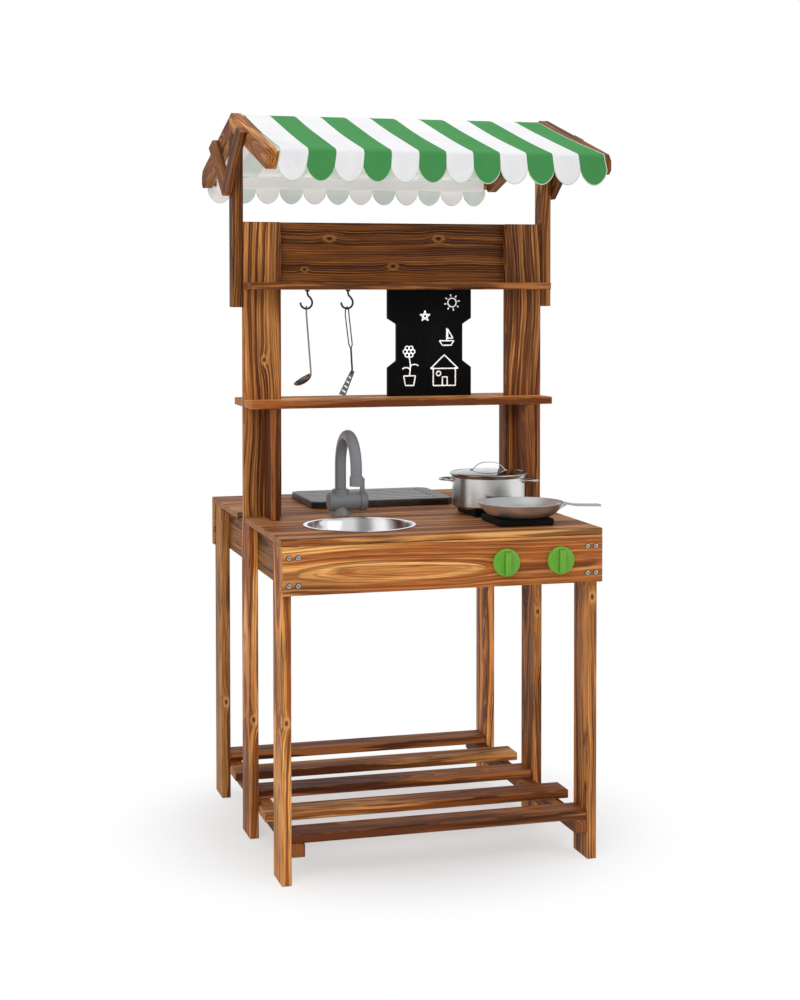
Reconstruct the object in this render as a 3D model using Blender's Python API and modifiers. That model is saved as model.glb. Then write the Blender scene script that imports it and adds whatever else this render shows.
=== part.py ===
"""Play mud kitchen of scorched fir boards with a striped cloth canopy.

Metres, +Z up, the front of the kitchen faces -Y, the floor is z = 0.
Depths are given from the front face of the front apron and moved by FRONT.
"""

import math

import bmesh
import bpy
from mathutils import Matrix, Vector

# Overall sizes
WIDTH = 0.600
TOP_HEIGHT = 0.617
TOP_DEPTH = 0.675
TOTAL_HEIGHT = 1.3897
FRONT = -0.33775

# Stock sizes
BOARD = 0.018
APRON_THICKNESS = 0.0193
LEG_WIDTH = 0.070
TOP_THICKNESS = 0.012
FIT = 0.0003
EDGE = 0.0010

# Table frame
LEG_INSET = 0.003
MIDDLE_LEG = 0.3116
APRON_HEIGHT = 0.0867
RAIL_SIDE = 0.024
SLAT_TOP = 0.0905
SLAT_THICKNESS = 0.0162
SLAT_WIDTH = 0.058
SLAT_STARTS = (0.0215, 0.1625, 0.3170, 0.4560)
LAST_SLAT_INSET = 0.067
LONG_SLATS = ("floor_slat_2", "floor_slat_4")
FRONT_SEAMS = (1 / 3, 2 / 3)
REAR_SEAMS = (1 / 2,)
SEAM_DEPTH = 0.0010
SEAM_WIDTH = 0.0009

# Uprights and shelves; PROUD and INSET count from the table's sides, DROP from the roof's top
UPRIGHT_FACE = 0.334
UPRIGHT_THICKNESS = 0.016
UPRIGHT_WIDTH = 0.0735
UPRIGHT_PROUD = 0.0015
UPRIGHT_DROP = 0.2072
BRACKET_INSET = 0.038
BRACKET_THICKNESS = 0.016
FRONT_BRACKET_DEPTH = 0.070
REAR_BRACKET_DEPTH = 0.0777
MIDDLE_PLANK_BACK = 0.4105
MIDDLE_PLANK_INSET = 0.0357
SHELF_RISE = 0.225
SHELF_PROUD = 0.001
SHELF_THICKNESS = 0.014
SHELF_FRONT = 0.2657
SHELF_BACK = 0.430
HOOK_RAIL_DROP = 0.3231
HOOK_RAIL_INSET = 0.0005
HOOK_RAIL_THICKNESS = 0.0138
HOOK_RAIL_FRONT = 0.2688
PANEL_DROP = 0.3362
PANEL_THICKNESS = 0.0157

# Roof
ROOF_CENTRE = 0.347
ROOF_HALF = 0.331
ROOF_SLOPE = 0.278
ROOF_PROUD = 0.0018
RAFTER_WIDTH = 0.036
RAFTER_THICKNESS = 0.020
RAFTER_OVERLAP = 0.020
RAFTER_CLIP = 0.010
POST_FRONT = 0.3315
POST_DEPTH = 0.038
POST_DROP = 0.3703
BRACE_WIDTH = 0.036
BRACE_THICKNESS = 0.013
BRACE_DROP = 0.1567
BRACE_SLOPE = 0.69
BRACE_TOE = 0.016
BRACE_SHIFT = 0.009
BRACE_HEADS = {"front": -0.005, "rear": -0.006}
RIDGE_BEAM = (0.018, 0.030)
EAVE_BEAM = (0.025, 0.019)
EAVE_BEAM_EDGE = 0.0006

# Canopy cloth
STRIPE_WIDTH = 0.050
CLOTH = 0.002
CLOTH_DROP = 0.0017
CLOTH_SLOPES = {"front": 0.259, "rear": 0.277}
CLOTH_SAG = 0.0015
CLOTH_ROLL = 0.0025
CLOTH_ROLL_INSIDE = 0.0037
CLOTH_SHOULDER = 0.006
CLOTH_FLARE = 0.0010
CLOTH_REACH = 0.349
CLOTH_RIDGE_INSET = 0.0025
VALANCE_PROUD = 0.0055
VALANCE_DROPS = {"front": 0.1217, "rear": 0.1292}
VALANCE_LOBE = 0.0260
VALANCE_CORNER = 0.010

# Chalkboard; its levels are shares of its height
CHALK_CENTRE = 0.080
CHALK_HALF = 0.0860
CHALK_WAIST = 0.068
CHALK_THICKNESS = 0.012
CHALK_EDGE = 0.0008
CHALK_LEVELS = (0.2366, 0.2941, 0.5987, 0.6466)
CHALK_OVERLAP = 0.0265

# Sink and faucet; the faucet's rises count from the worktop
SINK = (-0.118, 0.160)
SINK_RIM = 0.1045
SINK_HOLE = 0.0985
SINK_DEPTH = 0.060
SINK_CLEARANCE = 0.004
SINK_WALL = ((0.45, 1.0), (0.72, 0.93), (0.90, 0.72), (0.98, 0.36), (1.0, 0.06))
STEEL = 0.0015
FAUCET = (-0.1165, 0.312)
FAUCET_RISE = 0.0271
FAUCET_NECK_RADIUS = 0.0145
FAUCET_FOOT_RADIUS = 0.0190
FAUCET_BODY_RADIUS = 0.0180
FAUCET_BODY_ENDS = (-0.1415, -0.0793)
SPOUT_RADIUS = 0.0110
SPOUT_REACH = 0.122
BEND_RISE = 0.0980
TIP_RISE = 0.0690
TIP_RADIUS = 0.0127
TIP_HEIGHT = 0.0187
COLLAR_RISE = 0.0510
COLLAR_RADIUS = 0.0165
LEVER_CAP = (0.0195, 0.0135)
LEVER_PADDLE = (0.0085, 0.0090, 0.0445)

# Hob, pot and pan
HOB_SIZE = (0.1055, 0.112)
HOB_HEIGHT = 0.013
HOB_LEFT = 0.1215
HOB_FRONTS = (0.056, 0.2045)
HOB_EDGE = 0.0020
POT = (0.168, 0.262)
POT_RADIUS = 0.0705
POT_RIM = 0.0745
POT_RISE = 0.078
POT_TURN = -25.0
POT_WIRE = 0.0022
POT_GRIP = (0.029, 0.019)
POT_GRIP_DROP = 0.0135
LID_RADIUS = 0.0765
STRAP_WIDTH = 0.009
STRAP_TURN = 12.0
PAN = (0.180, 0.108)
PAN_RIM = 0.0795
PAN_BASE = 0.0530
PAN_HEIGHT = 0.0265
PAN_WALL = ((0.23, 0.10), (0.51, 0.29), (0.77, 0.57), (0.92, 0.81))
PAN_HANDLE = 0.0802
PAN_HANDLE_WIDTH = 0.0155
PAN_HANDLE_THICKNESS = 0.0040
PAN_TURN = -3.0

# Small pieces
KNOB_X = (0.1132, 0.2176)
KNOB_DROP = 0.056
KNOB_RADIUS = 0.0252
KNOB_THICKNESS = 0.0085
GRIP = (0.0042, 0.0205)
HOOK_X = (-0.186, -0.106)
HOOK_Y = 0.300
HOOK_DROP = 0.0248
HOOK_RADIUS = 0.0115
HOOK_WIRE = 0.0020
HOOK_COLLAR = 0.0052
EYE_RADIUS = 0.0032
LADLE_STRIP = (0.0014, 0.0090)
LADLE_BOWL = (0.0200, 0.0095)
LADLE_BOWL_PLACE = (-0.0081, -0.1337)
LADLE_TILT = 31.8
LADLE_SHELL = 0.0012
TURNER_WIRE = 0.0012
TURNER_LOOP = 0.0145
TURNER_KINK = 0.0685
TURNER_NECK = 0.0777
TURNER_STEM = 0.0019
BLADE_TOP = 0.1200
BLADE_HEIGHT = 0.0460
BLADE_THICKNESS = 0.0011
BLADE_X = (0.0110, -0.0100)
TRAY = (-0.146, 0.1475, 0.4190, 0.6270)
TRAY_HEIGHT = 0.014
TRAY_CORNER = 0.014
TRAY_MARGINS = (0.030, 0.026)
TROUGH_STARTS = (0, 1, 2, 3, 4, 5)
TROUGH_WIDTH = 0.72
TROUGH_DEPTH = 0.0030

HALF = WIDTH / 2
TOP_UNDER = TOP_HEIGHT - TOP_THICKNESS
LEG_FRONT = APRON_THICKNESS + FIT
LEG_OUTER = HALF - LEG_INSET
LEG_INNER = LEG_OUTER - BOARD
APRON_OUTER = LEG_INNER - FIT
APRON_INNER = APRON_OUTER - BOARD
APRON_TOP = TOP_UNDER - FIT
APRON_FOOT = APRON_TOP - APRON_HEIGHT
SLAT_FRONTS = (*SLAT_STARTS, TOP_DEPTH - LAST_SLAT_INSET)
UPRIGHT_OUTER = HALF + UPRIGHT_PROUD
UPRIGHT_INNER = UPRIGHT_OUTER - UPRIGHT_WIDTH
UPRIGHT_TOP = TOTAL_HEIGHT - UPRIGHT_DROP
UPRIGHT_BACK = UPRIGHT_FACE + UPRIGHT_THICKNESS
BRACKET_OUTER = HALF - BRACKET_INSET
MIDDLE_PLANK_HALF = HALF - MIDDLE_PLANK_INSET
FRONT_ZONE = UPRIGHT_FACE - FIT
REAR_ZONE = UPRIGHT_BACK + FIT
SHELF_HALF = HALF + SHELF_PROUD
SHELF_TOP = TOP_HEIGHT + SHELF_RISE
SHELF_UNDER = SHELF_TOP - SHELF_THICKNESS
HOOK_RAIL_HALF = HALF - HOOK_RAIL_INSET
HOOK_RAIL_TOP = TOTAL_HEIGHT - HOOK_RAIL_DROP
HOOK_RAIL_UNDER = HOOK_RAIL_TOP - HOOK_RAIL_THICKNESS
HOOK_CENTRE_Z = HOOK_RAIL_UNDER - HOOK_DROP
HOOK_SEAT_Z = HOOK_CENTRE_Z - HOOK_RADIUS
PANEL_FOOT = TOTAL_HEIGHT - PANEL_DROP
CHALK_TOP = PANEL_FOOT + CHALK_OVERLAP
ROOF_INNER = HALF + ROOF_PROUD
RAFTER_OUTER = ROOF_INNER + RAFTER_THICKNESS
RAFTER_DROP = RAFTER_WIDTH * math.hypot(1.0, ROOF_SLOPE)
POST_FOOT = TOTAL_HEIGHT - POST_DROP
BRACE_FOOT = TOTAL_HEIGHT - BRACE_DROP
STRIPES = round(WIDTH / STRIPE_WIDTH)
CLOTH_RIDGE = TOTAL_HEIGHT - CLOTH_DROP
CLOTH_EAVE_HALF = HALF
CLOTH_RIDGE_HALF = HALF - CLOTH_RIDGE_INSET
VALANCE_HALF = HALF + VALANCE_PROUD
FAUCET_AXIS = TOP_HEIGHT + FAUCET_RISE
COLLAR_TOP = TOP_HEIGHT + COLLAR_RISE
SPOUT_BEND = TOP_HEIGHT + BEND_RISE
SPOUT_TIP = TOP_HEIGHT + TIP_RISE
POT_TOP = TOP_HEIGHT + POT_RISE
KNOB_Z = TOP_HEIGHT - KNOB_DROP


def clear_scene():
    """Remove whatever the file opens with."""
    for thing in list(bpy.data.objects):
        bpy.data.objects.remove(thing, do_unlink=True)


def collection(name, hidden=False):
    """Make a collection of that name in the scene."""
    made = bpy.data.collections.new(name)
    bpy.context.scene.collection.children.link(made)
    made.hide_render = hidden
    return made


clear_scene()
PARTS = collection("mud_kitchen")
CUTTERS = collection("cutters", hidden=True)


def material(name, colour, roughness=0.6, metallic=0.0):
    """Make one Principled material."""
    made = bpy.data.materials.new(name)
    made.use_nodes = True
    shader = made.node_tree.nodes["Principled BSDF"]
    shader.inputs["Base Color"].default_value = (*colour, 1.0)
    shader.inputs["Roughness"].default_value = roughness
    shader.inputs["Metallic"].default_value = metallic
    return made


SIDES = (("left", -1), ("right", 1))
ENDS = (("front", -1), ("rear", 1))
WOOD = (0.36, 0.17, 0.07)
DARK_WOOD = (0.22, 0.09, 0.035)
STEEL_COLOUR = (0.72, 0.72, 0.71)
UTENSIL_STEEL = (0.5, 0.5, 0.49)
PLASTIC_GREY = (0.18, 0.19, 0.20)
TRAY_GREY = (0.12, 0.13, 0.13)
BOARD_BLACK = (0.02, 0.02, 0.02)
IRON_BLACK = (0.03, 0.03, 0.03)
KNOB_GREEN = (0.16, 0.55, 0.05)
CLOTH_PALE = (0.75, 0.78, 0.74)


def at(depth):
    """World Y of a depth measured from the front face."""
    return FRONT + depth


def place(name, mesh, colour, origin=(0, 0, 0), roughness=0.6, metallic=0.0):
    """Put a mesh into the kitchen as a named piece with its own material."""
    made = bpy.data.objects.new(name, mesh)
    made.location = origin
    mesh.materials.append(material(name + "_finish", colour, roughness, metallic))
    PARTS.objects.link(made)
    return made


def mesh_of(name, build):
    """Run a bmesh builder and return its mesh."""
    bm = bmesh.new()
    build(bm)
    bmesh.ops.recalc_face_normals(bm, faces=bm.faces)
    mesh = bpy.data.meshes.new(name)
    bm.to_mesh(mesh)
    bm.free()
    return mesh


def bevel(piece, width=EDGE, segments=1, angle=40.0):
    """Ease the sharp edges of a piece."""
    mod = piece.modifiers.new("eased_edges", "BEVEL")
    mod.width = width
    mod.segments = segments
    mod.limit_method = "ANGLE"
    mod.angle_limit = math.radians(angle)
    return mod


def block_mesh(name, low, high):
    """A box mesh between two corners."""
    low = Vector(low)
    high = Vector(high)
    size = high - low
    middle = (low + high) / 2

    def build(bm):
        bmesh.ops.create_cube(bm, size=1.0)
        bmesh.ops.scale(bm, vec=size, verts=bm.verts)
        bmesh.ops.translate(bm, vec=middle, verts=bm.verts)

    return mesh_of(name, build)


def board(name, low, high, colour=WOOD, ease=EDGE):
    """A straight board between two corners, y as depth from the front."""
    low = (low[0], at(low[1]), low[2])
    high = (high[0], at(high[1]), high[2])
    piece = place(name, block_mesh(name, low, high), colour)
    bevel(piece, ease)
    return piece


def slab_mesh(name, outline, axis, start, end):
    """A flat outline pushed out along one axis between two positions."""
    order = {"X": (2, 0, 1), "Y": (0, 2, 1), "Z": (0, 1, 2)}[axis]

    def build(bm):
        rings = []
        for level in (start, end):
            ring = []
            for a, b in outline:
                values = (a, b, level)
                ring.append(bm.verts.new([values[i] for i in order]))
            rings.append(ring)
        bm.faces.new(rings[0])
        bm.faces.new(list(reversed(rings[1])))
        count = len(outline)
        for i in range(count):
            j = (i + 1) % count
            bm.faces.new((rings[0][i], rings[0][j], rings[1][j], rings[1][i]))

    return mesh_of(name, build)


def slab(name, outline, axis, start, end, colour=WOOD, ease=EDGE):
    """A named piece made from a flat outline in world coordinates."""
    piece = place(name, slab_mesh(name, outline, axis, start, end), colour)
    if ease:
        bevel(piece, ease)
    return piece


def turned(name, profile, centre, colour, axis="Z", steps=40, roughness=0.4, metallic=0.0, hide=False):
    """A turned shape: the profile runs down its outer side from top to bottom."""
    mesh = bpy.data.meshes.new(name)
    points = [(radius, 0.0, height) for radius, height in profile]
    mesh.from_pydata(points, [(i, i + 1) for i in range(len(points) - 1)], [])
    piece = place(name, mesh, colour, centre, roughness, metallic)
    mod = piece.modifiers.new("turned", "SCREW")
    mod.axis = "Z"
    mod.angle = math.radians(360)
    mod.steps = steps
    mod.render_steps = steps
    mod.use_merge_vertices = True
    mod.merge_threshold = 0.00005
    mod.use_smooth_shade = True
    if axis == "X":
        piece.rotation_euler = (0.0, math.radians(90), 0.0)
    if axis == "Y":
        piece.rotation_euler = (math.radians(90), 0.0, 0.0)
    if hide:
        to_cutters(piece)
    return piece


def rod_profile(radius, foot, top):
    """The turned profile of a plain round rod."""
    return [(0.0, top), (radius, top), (radius, foot), (0.0, foot)]


def to_cutters(piece):
    """Keep a shape as a helper only."""
    if piece.name in PARTS.objects:
        PARTS.objects.unlink(piece)
    if piece.name not in CUTTERS.objects:
        CUTTERS.objects.link(piece)
    piece.hide_render = True
    piece.display_type = "WIRE"
    return piece


def combine(piece, helper, operation="UNION"):
    """Boolean a helper into a piece."""
    to_cutters(helper)
    mod = piece.modifiers.new(operation.lower(), "BOOLEAN")
    mod.operation = operation
    mod.solver = "EXACT"
    mod.object = helper
    return mod


def wire(name, points, radius, colour, closed=False, ring=2, roughness=0.4, metallic=0.0):
    """A round wire or tube through points, closed at its ends, as a mesh piece."""
    curve = bpy.data.curves.new(name, "CURVE")
    curve.dimensions = "3D"
    curve.bevel_depth = radius
    curve.bevel_resolution = ring
    curve.use_fill_caps = True
    spline = curve.splines.new("POLY")
    spline.points.add(len(points) - 1)
    for knot, position in zip(spline.points, points):
        knot.co = (*position, 1.0)
    spline.use_cyclic_u = closed
    source = bpy.data.objects.new(name + "_path", curve)
    CUTTERS.objects.link(source)
    bpy.context.view_layer.update()
    graph = bpy.context.evaluated_depsgraph_get()
    mesh = bpy.data.meshes.new_from_object(source.evaluated_get(graph))
    bpy.data.objects.remove(source, do_unlink=True)
    bm = bmesh.new()
    bm.from_mesh(mesh)
    bmesh.ops.remove_doubles(bm, verts=bm.verts, dist=0.00001)
    bmesh.ops.recalc_face_normals(bm, faces=bm.faces)
    bm.to_mesh(mesh)
    bm.free()
    mesh.materials.clear()
    return place(name, mesh, colour, (0, 0, 0), roughness, metallic)


def move_origin(piece, point):
    """Put a piece's origin on a point without moving the piece."""
    offset = Vector(point) - piece.location
    piece.data.transform(Matrix.Translation(-offset))
    piece.location = point


def side_range(inner, outer, side):
    """The low and high x of a piece between two distances from the middle."""
    return (inner, outer) if side > 0 else (-outer, -inner)


def build_table():
    """Legs, aprons, floor rails, slats and the three tabletop panels."""
    leg_fronts = {
        "front": LEG_FRONT,
        "middle": MIDDLE_LEG,
        "rear": TOP_DEPTH - LEG_WIDTH,
    }
    for place_name, start in leg_fronts.items():
        for side_name, side in SIDES:
            x0, x1 = side_range(LEG_INNER, LEG_OUTER, side)
            board(
                f"leg_{place_name}_{side_name}",
                (x0, start, 0.0),
                (x1, start + LEG_WIDTH, APRON_TOP),
            )
    board("apron_front", (-HALF, 0.0, APRON_FOOT), (HALF, APRON_THICKNESS, APRON_TOP))
    board(
        "apron_rear",
        (-HALF, TOP_DEPTH + FIT, APRON_FOOT),
        (HALF, TOP_DEPTH + FIT + APRON_THICKNESS, TOP_HEIGHT),
    )
    rail_top = SLAT_TOP - SLAT_THICKNESS - FIT
    for side_name, side in SIDES:
        x0, x1 = side_range(APRON_INNER, APRON_OUTER, side)
        board(
            f"apron_{side_name}",
            (x0, LEG_FRONT, APRON_FOOT),
            (x1, TOP_DEPTH, APRON_TOP),
        )
        x0, x1 = side_range(APRON_OUTER - RAIL_SIDE, APRON_OUTER, side)
        board(
            f"floor_rail_{side_name}",
            (x0, LEG_FRONT, rail_top - RAIL_SIDE),
            (x1, TOP_DEPTH, rail_top),
        )
    for number, start in enumerate(SLAT_FRONTS, start=1):
        name = f"floor_slat_{number}"
        half = LEG_OUTER if name in LONG_SLATS else APRON_OUTER
        board(
            name,
            (-half, start, SLAT_TOP - SLAT_THICKNESS),
            (half, start + SLAT_WIDTH, SLAT_TOP),
        )
    build_tabletop()


def cut_seams(panel, front, back, seams, half):
    """Cut the shallow seams between the glued planks of a panel, at shares of its depth."""
    for number, share in enumerate(seams, start=1):
        depth = front + share * (back - front)
        low = (-half - EDGE, at(depth) - SEAM_WIDTH / 2, TOP_HEIGHT - SEAM_DEPTH)
        high = (half + EDGE, at(depth) + SEAM_WIDTH / 2, TOP_HEIGHT + SEAM_DEPTH)
        name = f"{panel.name}_seam_{number}"
        combine(panel, place(name, block_mesh(name, low, high), WOOD), "DIFFERENCE")


def build_tabletop():
    """The tabletop in three panels, the middle one short to let the uprights stand through."""
    front = board("tabletop_front_panel", (-HALF, 0.0, TOP_UNDER), (HALF, FRONT_ZONE, TOP_HEIGHT))
    cut_seams(front, 0.0, FRONT_ZONE, FRONT_SEAMS, HALF)
    hole = turned(
        "sink_cutter",
        rod_profile(SINK_HOLE, -2 * TOP_THICKNESS, 2 * TOP_THICKNESS),
        (SINK[0], at(SINK[1]), TOP_HEIGHT),
        WOOD,
        steps=56,
    )
    combine(front, hole, "DIFFERENCE")
    step_x = UPRIGHT_INNER - FIT
    half_shape = [
        (step_x, FRONT_ZONE + FIT),
        (step_x, REAR_ZONE),
        (MIDDLE_PLANK_HALF, REAR_ZONE),
        (MIDDLE_PLANK_HALF, MIDDLE_PLANK_BACK),
    ]
    outline = [(x, at(depth)) for x, depth in half_shape]
    outline += [(-x, at(depth)) for x, depth in reversed(half_shape)]
    slab("tabletop_middle_plank", outline, "Z", TOP_UNDER, TOP_HEIGHT)
    rear_start = MIDDLE_PLANK_BACK + FIT
    rear = board("tabletop_rear_panel", (-HALF, rear_start, TOP_UNDER), (HALF, TOP_DEPTH, TOP_HEIGHT))
    cut_seams(rear, rear_start, TOP_DEPTH, REAR_SEAMS, HALF)


def build_uprights():
    """Wide upright boards, their brackets, the two shelves and the panel between the boards."""
    for side_name, side in SIDES:
        x0, x1 = side_range(UPRIGHT_INNER, UPRIGHT_OUTER, side)
        board(
            f"upright_board_{side_name}",
            (x0, UPRIGHT_FACE, TOP_UNDER),
            (x1, UPRIGHT_BACK, UPRIGHT_TOP),
        )
        x0, x1 = side_range(BRACKET_OUTER - BRACKET_THICKNESS, BRACKET_OUTER, side)
        board(
            f"front_bracket_{side_name}",
            (x0, FRONT_ZONE - FRONT_BRACKET_DEPTH, TOP_HEIGHT + FIT),
            (x1, FRONT_ZONE, SHELF_UNDER - FIT),
        )
        board(
            f"rear_bracket_{side_name}",
            (x0, REAR_ZONE, TOP_HEIGHT + FIT),
            (x1, REAR_ZONE + REAR_BRACKET_DEPTH, SHELF_UNDER - FIT),
        )
    step_x = UPRIGHT_INNER - FIT
    half_shape = [
        (SHELF_HALF, SHELF_FRONT),
        (SHELF_HALF, FRONT_ZONE),
        (step_x, FRONT_ZONE),
        (step_x, REAR_ZONE),
        (SHELF_HALF, REAR_ZONE),
        (SHELF_HALF, SHELF_BACK),
    ]
    outline = [(x, at(depth)) for x, depth in half_shape]
    outline += [(-x, at(depth)) for x, depth in reversed(half_shape)]
    slab("lower_shelf", outline, "Z", SHELF_UNDER, SHELF_TOP)
    board(
        "hook_rail",
        (-HOOK_RAIL_HALF, HOOK_RAIL_FRONT, HOOK_RAIL_UNDER),
        (HOOK_RAIL_HALF, FRONT_ZONE, HOOK_RAIL_TOP),
    )
    board(
        "back_panel",
        (-UPRIGHT_OUTER, REAR_ZONE, PANEL_FOOT),
        (UPRIGHT_OUTER, REAR_ZONE + PANEL_THICKNESS, UPRIGHT_TOP),
        DARK_WOOD,
    )


def rafter_top(reach):
    """Height of the rafters' upper edge at a distance from the ridge."""
    return TOTAL_HEIGHT - reach * ROOF_SLOPE


def roof_slab(name, shape, sign, x0, x1):
    """A flat roof board from (distance from the ridge, height) corners."""
    outline = [(at(ROOF_CENTRE + sign * reach), height) for reach, height in shape]
    return slab(name, outline, "X", x0, x1)


def brace_shape(end_name, sign):
    """Corners of one brace arm from its toe up to a cut along the rafter."""
    proud = BRACE_HEADS[end_name]
    start = sign * BRACE_SHIFT
    along = BRACE_SLOPE + ROOF_SLOPE
    rise = BRACE_WIDTH * math.hypot(1.0, BRACE_SLOPE)
    head = TOTAL_HEIGHT + proud - BRACE_FOOT + (start + BRACE_TOE) * BRACE_SLOPE
    low_reach = head / along
    high_reach = (head - rise) / along
    return [
        (start + FIT / 2, BRACE_FOOT),
        (start + BRACE_TOE, BRACE_FOOT),
        (low_reach, rafter_top(low_reach) + proud),
        (high_reach, rafter_top(high_reach) + proud),
        (start + FIT / 2, BRACE_FOOT - BRACE_TOE * BRACE_SLOPE + rise),
    ]


def rafter_shape(end_name):
    """Corners of one rafter; the front one runs over the ridge and the rear one butts against it."""
    past = RAFTER_OVERLAP
    clip = ROOF_HALF - RAFTER_CLIP
    outer = [
        (clip, rafter_top(clip)),
        (ROOF_HALF, rafter_top(ROOF_HALF) - RAFTER_CLIP),
        (ROOF_HALF, rafter_top(ROOF_HALF) - RAFTER_DROP + RAFTER_CLIP),
        (clip, rafter_top(clip) - RAFTER_DROP),
    ]
    if end_name == "rear":
        near = past + FIT
        return [(near, rafter_top(near)), *outer, (near, rafter_top(near) - RAFTER_DROP)]
    over_ridge = [
        (0.0, TOTAL_HEIGHT - RAFTER_DROP),
        (-past, rafter_top(past) - RAFTER_DROP),
        (-past, rafter_top(past)),
        (0.0, TOTAL_HEIGHT),
    ]
    return outer + over_ridge


def build_roof():
    """Posts, rafters, V braces, ridge and eave beams."""
    post_shape = [
        (POST_FRONT, POST_FOOT),
        (POST_FRONT + POST_DEPTH, POST_FOOT),
        (POST_FRONT + POST_DEPTH, None),
        (ROOF_CENTRE, None),
        (POST_FRONT, None),
    ]
    for side_name, side in SIDES:
        x0, x1 = side_range(ROOF_INNER, RAFTER_OUTER, side)
        outline = []
        for depth, height in post_shape:
            top = rafter_top(abs(depth - ROOF_CENTRE)) - RAFTER_DROP - FIT
            outline.append((at(depth), top if height is None else height))
        slab(f"roof_post_{side_name}", outline, "X", x0, x1)
        brace_x = side_range(RAFTER_OUTER + FIT, RAFTER_OUTER + FIT + BRACE_THICKNESS, side)
        for end_name, sign in ENDS:
            name = f"{end_name}_{side_name}"
            roof_slab(f"rafter_{name}", rafter_shape(end_name), sign, x0, x1)
            roof_slab(f"roof_brace_{name}", brace_shape(end_name, sign), sign, *brace_x)
    half = ROOF_INNER - FIT
    top = cloth_line(RIDGE_BEAM[0] / 2, "rear") - cloth_lift(CLOTH, "rear") - FIT
    board(
        "ridge_beam",
        (-half, ROOF_CENTRE - RIDGE_BEAM[0] / 2, top - RIDGE_BEAM[1]),
        (half, ROOF_CENTRE + RIDGE_BEAM[0] / 2, top),
    )
    outer = CLOTH_REACH - CLOTH - FIT
    for end_name, sign in ENDS:
        top = cloth_line(CLOTH_REACH - CLOTH, end_name) - CLOTH_ROLL_INSIDE - FIT
        faces = (ROOF_CENTRE + sign * outer, ROOF_CENTRE + sign * (outer - EAVE_BEAM[0]))
        board(
            f"eave_beam_{end_name}",
            (-half, min(faces), top - EAVE_BEAM[1]),
            (half, max(faces), top),
            ease=EAVE_BEAM_EDGE,
        )


def cloth_line(reach, end_name):
    """Height of the cloth's upper face at a distance from the ridge."""
    return CLOTH_RIDGE - reach * CLOTH_SLOPES[end_name]


def cloth_lift(offset, end_name):
    """How much lower a face lies that is an offset inside the cloth's upper face."""
    return offset * math.hypot(1.0, CLOTH_SLOPES[end_name])


def cloth_rows(offset, end_name):
    """Rows of one cloth face from ridge to hem: reach, height, half width, share of the lobes."""
    edge = CLOTH_REACH - offset
    middle = edge / 2
    shoulder = edge - CLOTH_SHOULDER
    roll = CLOTH_ROLL_INSIDE if offset else CLOTH_ROLL
    lift = cloth_lift(offset, end_name)
    middle_half = (CLOTH_RIDGE_HALF + CLOTH_EAVE_HALF) / 2
    return [
        (0.0, CLOTH_RIDGE - cloth_lift(offset, "front"), CLOTH_RIDGE_HALF, 0.0),
        (middle, cloth_line(middle, end_name) - CLOTH_SAG - lift, middle_half, 0.0),
        (shoulder, cloth_line(shoulder, end_name) - lift, CLOTH_EAVE_HALF, 0.0),
        (edge, cloth_line(edge, end_name) - roll, CLOTH_EAVE_HALF + CLOTH_FLARE, 0.0),
        (edge, TOTAL_HEIGHT - VALANCE_DROPS[end_name], VALANCE_HALF, 1.0),
    ]


def hem_drop(column, columns):
    """How far the scalloped hem hangs below its notches at a column of the whole width."""
    share = column * STRIPES / columns % 1.0
    depth = math.sin(math.pi * share) ** 0.75 if share else 0.0
    return depth * VALANCE_LOBE if 0 < column < columns else -VALANCE_CORNER


def build_canopy():
    """The cloth over the ridge and both eaves with its scalloped edges."""
    columns = STRIPES * 5

    def build(bm):
        layers = []
        for offset in (0.0, CLOTH):
            front_rows = cloth_rows(offset, "front")[1:]
            full = [(-row[0], *row[1:]) for row in reversed(front_rows)]
            full += cloth_rows(offset, "rear")
            grid = []
            for reach, height, half, hem in full:
                line = []
                for column in range(columns + 1):
                    x = -half + 2 * half * column / columns
                    z = height - hem * hem_drop(column, columns)
                    line.append(bm.verts.new((x, at(ROOF_CENTRE + reach), z)))
                grid.append(line)
            layers.append(grid)
        outer, inner = layers
        rows = len(outer)
        for r in range(rows - 1):
            for c in range(columns):
                bm.faces.new((outer[r][c], outer[r][c + 1], outer[r + 1][c + 1], outer[r + 1][c]))
                bm.faces.new((inner[r][c], inner[r + 1][c], inner[r + 1][c + 1], inner[r][c + 1]))
        for c in range(columns):
            for r in (0, rows - 1):
                bm.faces.new((outer[r][c], inner[r][c], inner[r][c + 1], outer[r][c + 1]))
        for r in range(rows - 1):
            for c in (0, columns):
                bm.faces.new((outer[r][c], outer[r + 1][c], inner[r + 1][c], inner[r][c]))

    place("canopy", mesh_of("canopy", build), CLOTH_PALE, roughness=0.9)


def build_chalkboard():
    """The waisted chalkboard standing on the lower shelf behind the back panel."""
    foot = SHELF_TOP + FIT
    height = CHALK_TOP - SHELF_TOP
    low_tab, low_waist, high_waist, high_tab = (SHELF_TOP + share * height for share in CHALK_LEVELS)
    half_shape = [
        (CHALK_HALF, foot),
        (CHALK_HALF, low_tab),
        (CHALK_WAIST, low_waist),
        (CHALK_WAIST, high_waist),
        (CHALK_HALF, high_tab),
        (CHALK_HALF, CHALK_TOP),
    ]
    outline = [(CHALK_CENTRE + x, z) for x, z in half_shape]
    outline += [(CHALK_CENTRE - x, z) for x, z in reversed(half_shape)]
    face = at(REAR_ZONE + PANEL_THICKNESS + FIT)
    slab("chalkboard", outline, "Y", face, face + CHALK_THICKNESS, BOARD_BLACK, CHALK_EDGE)


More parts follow.
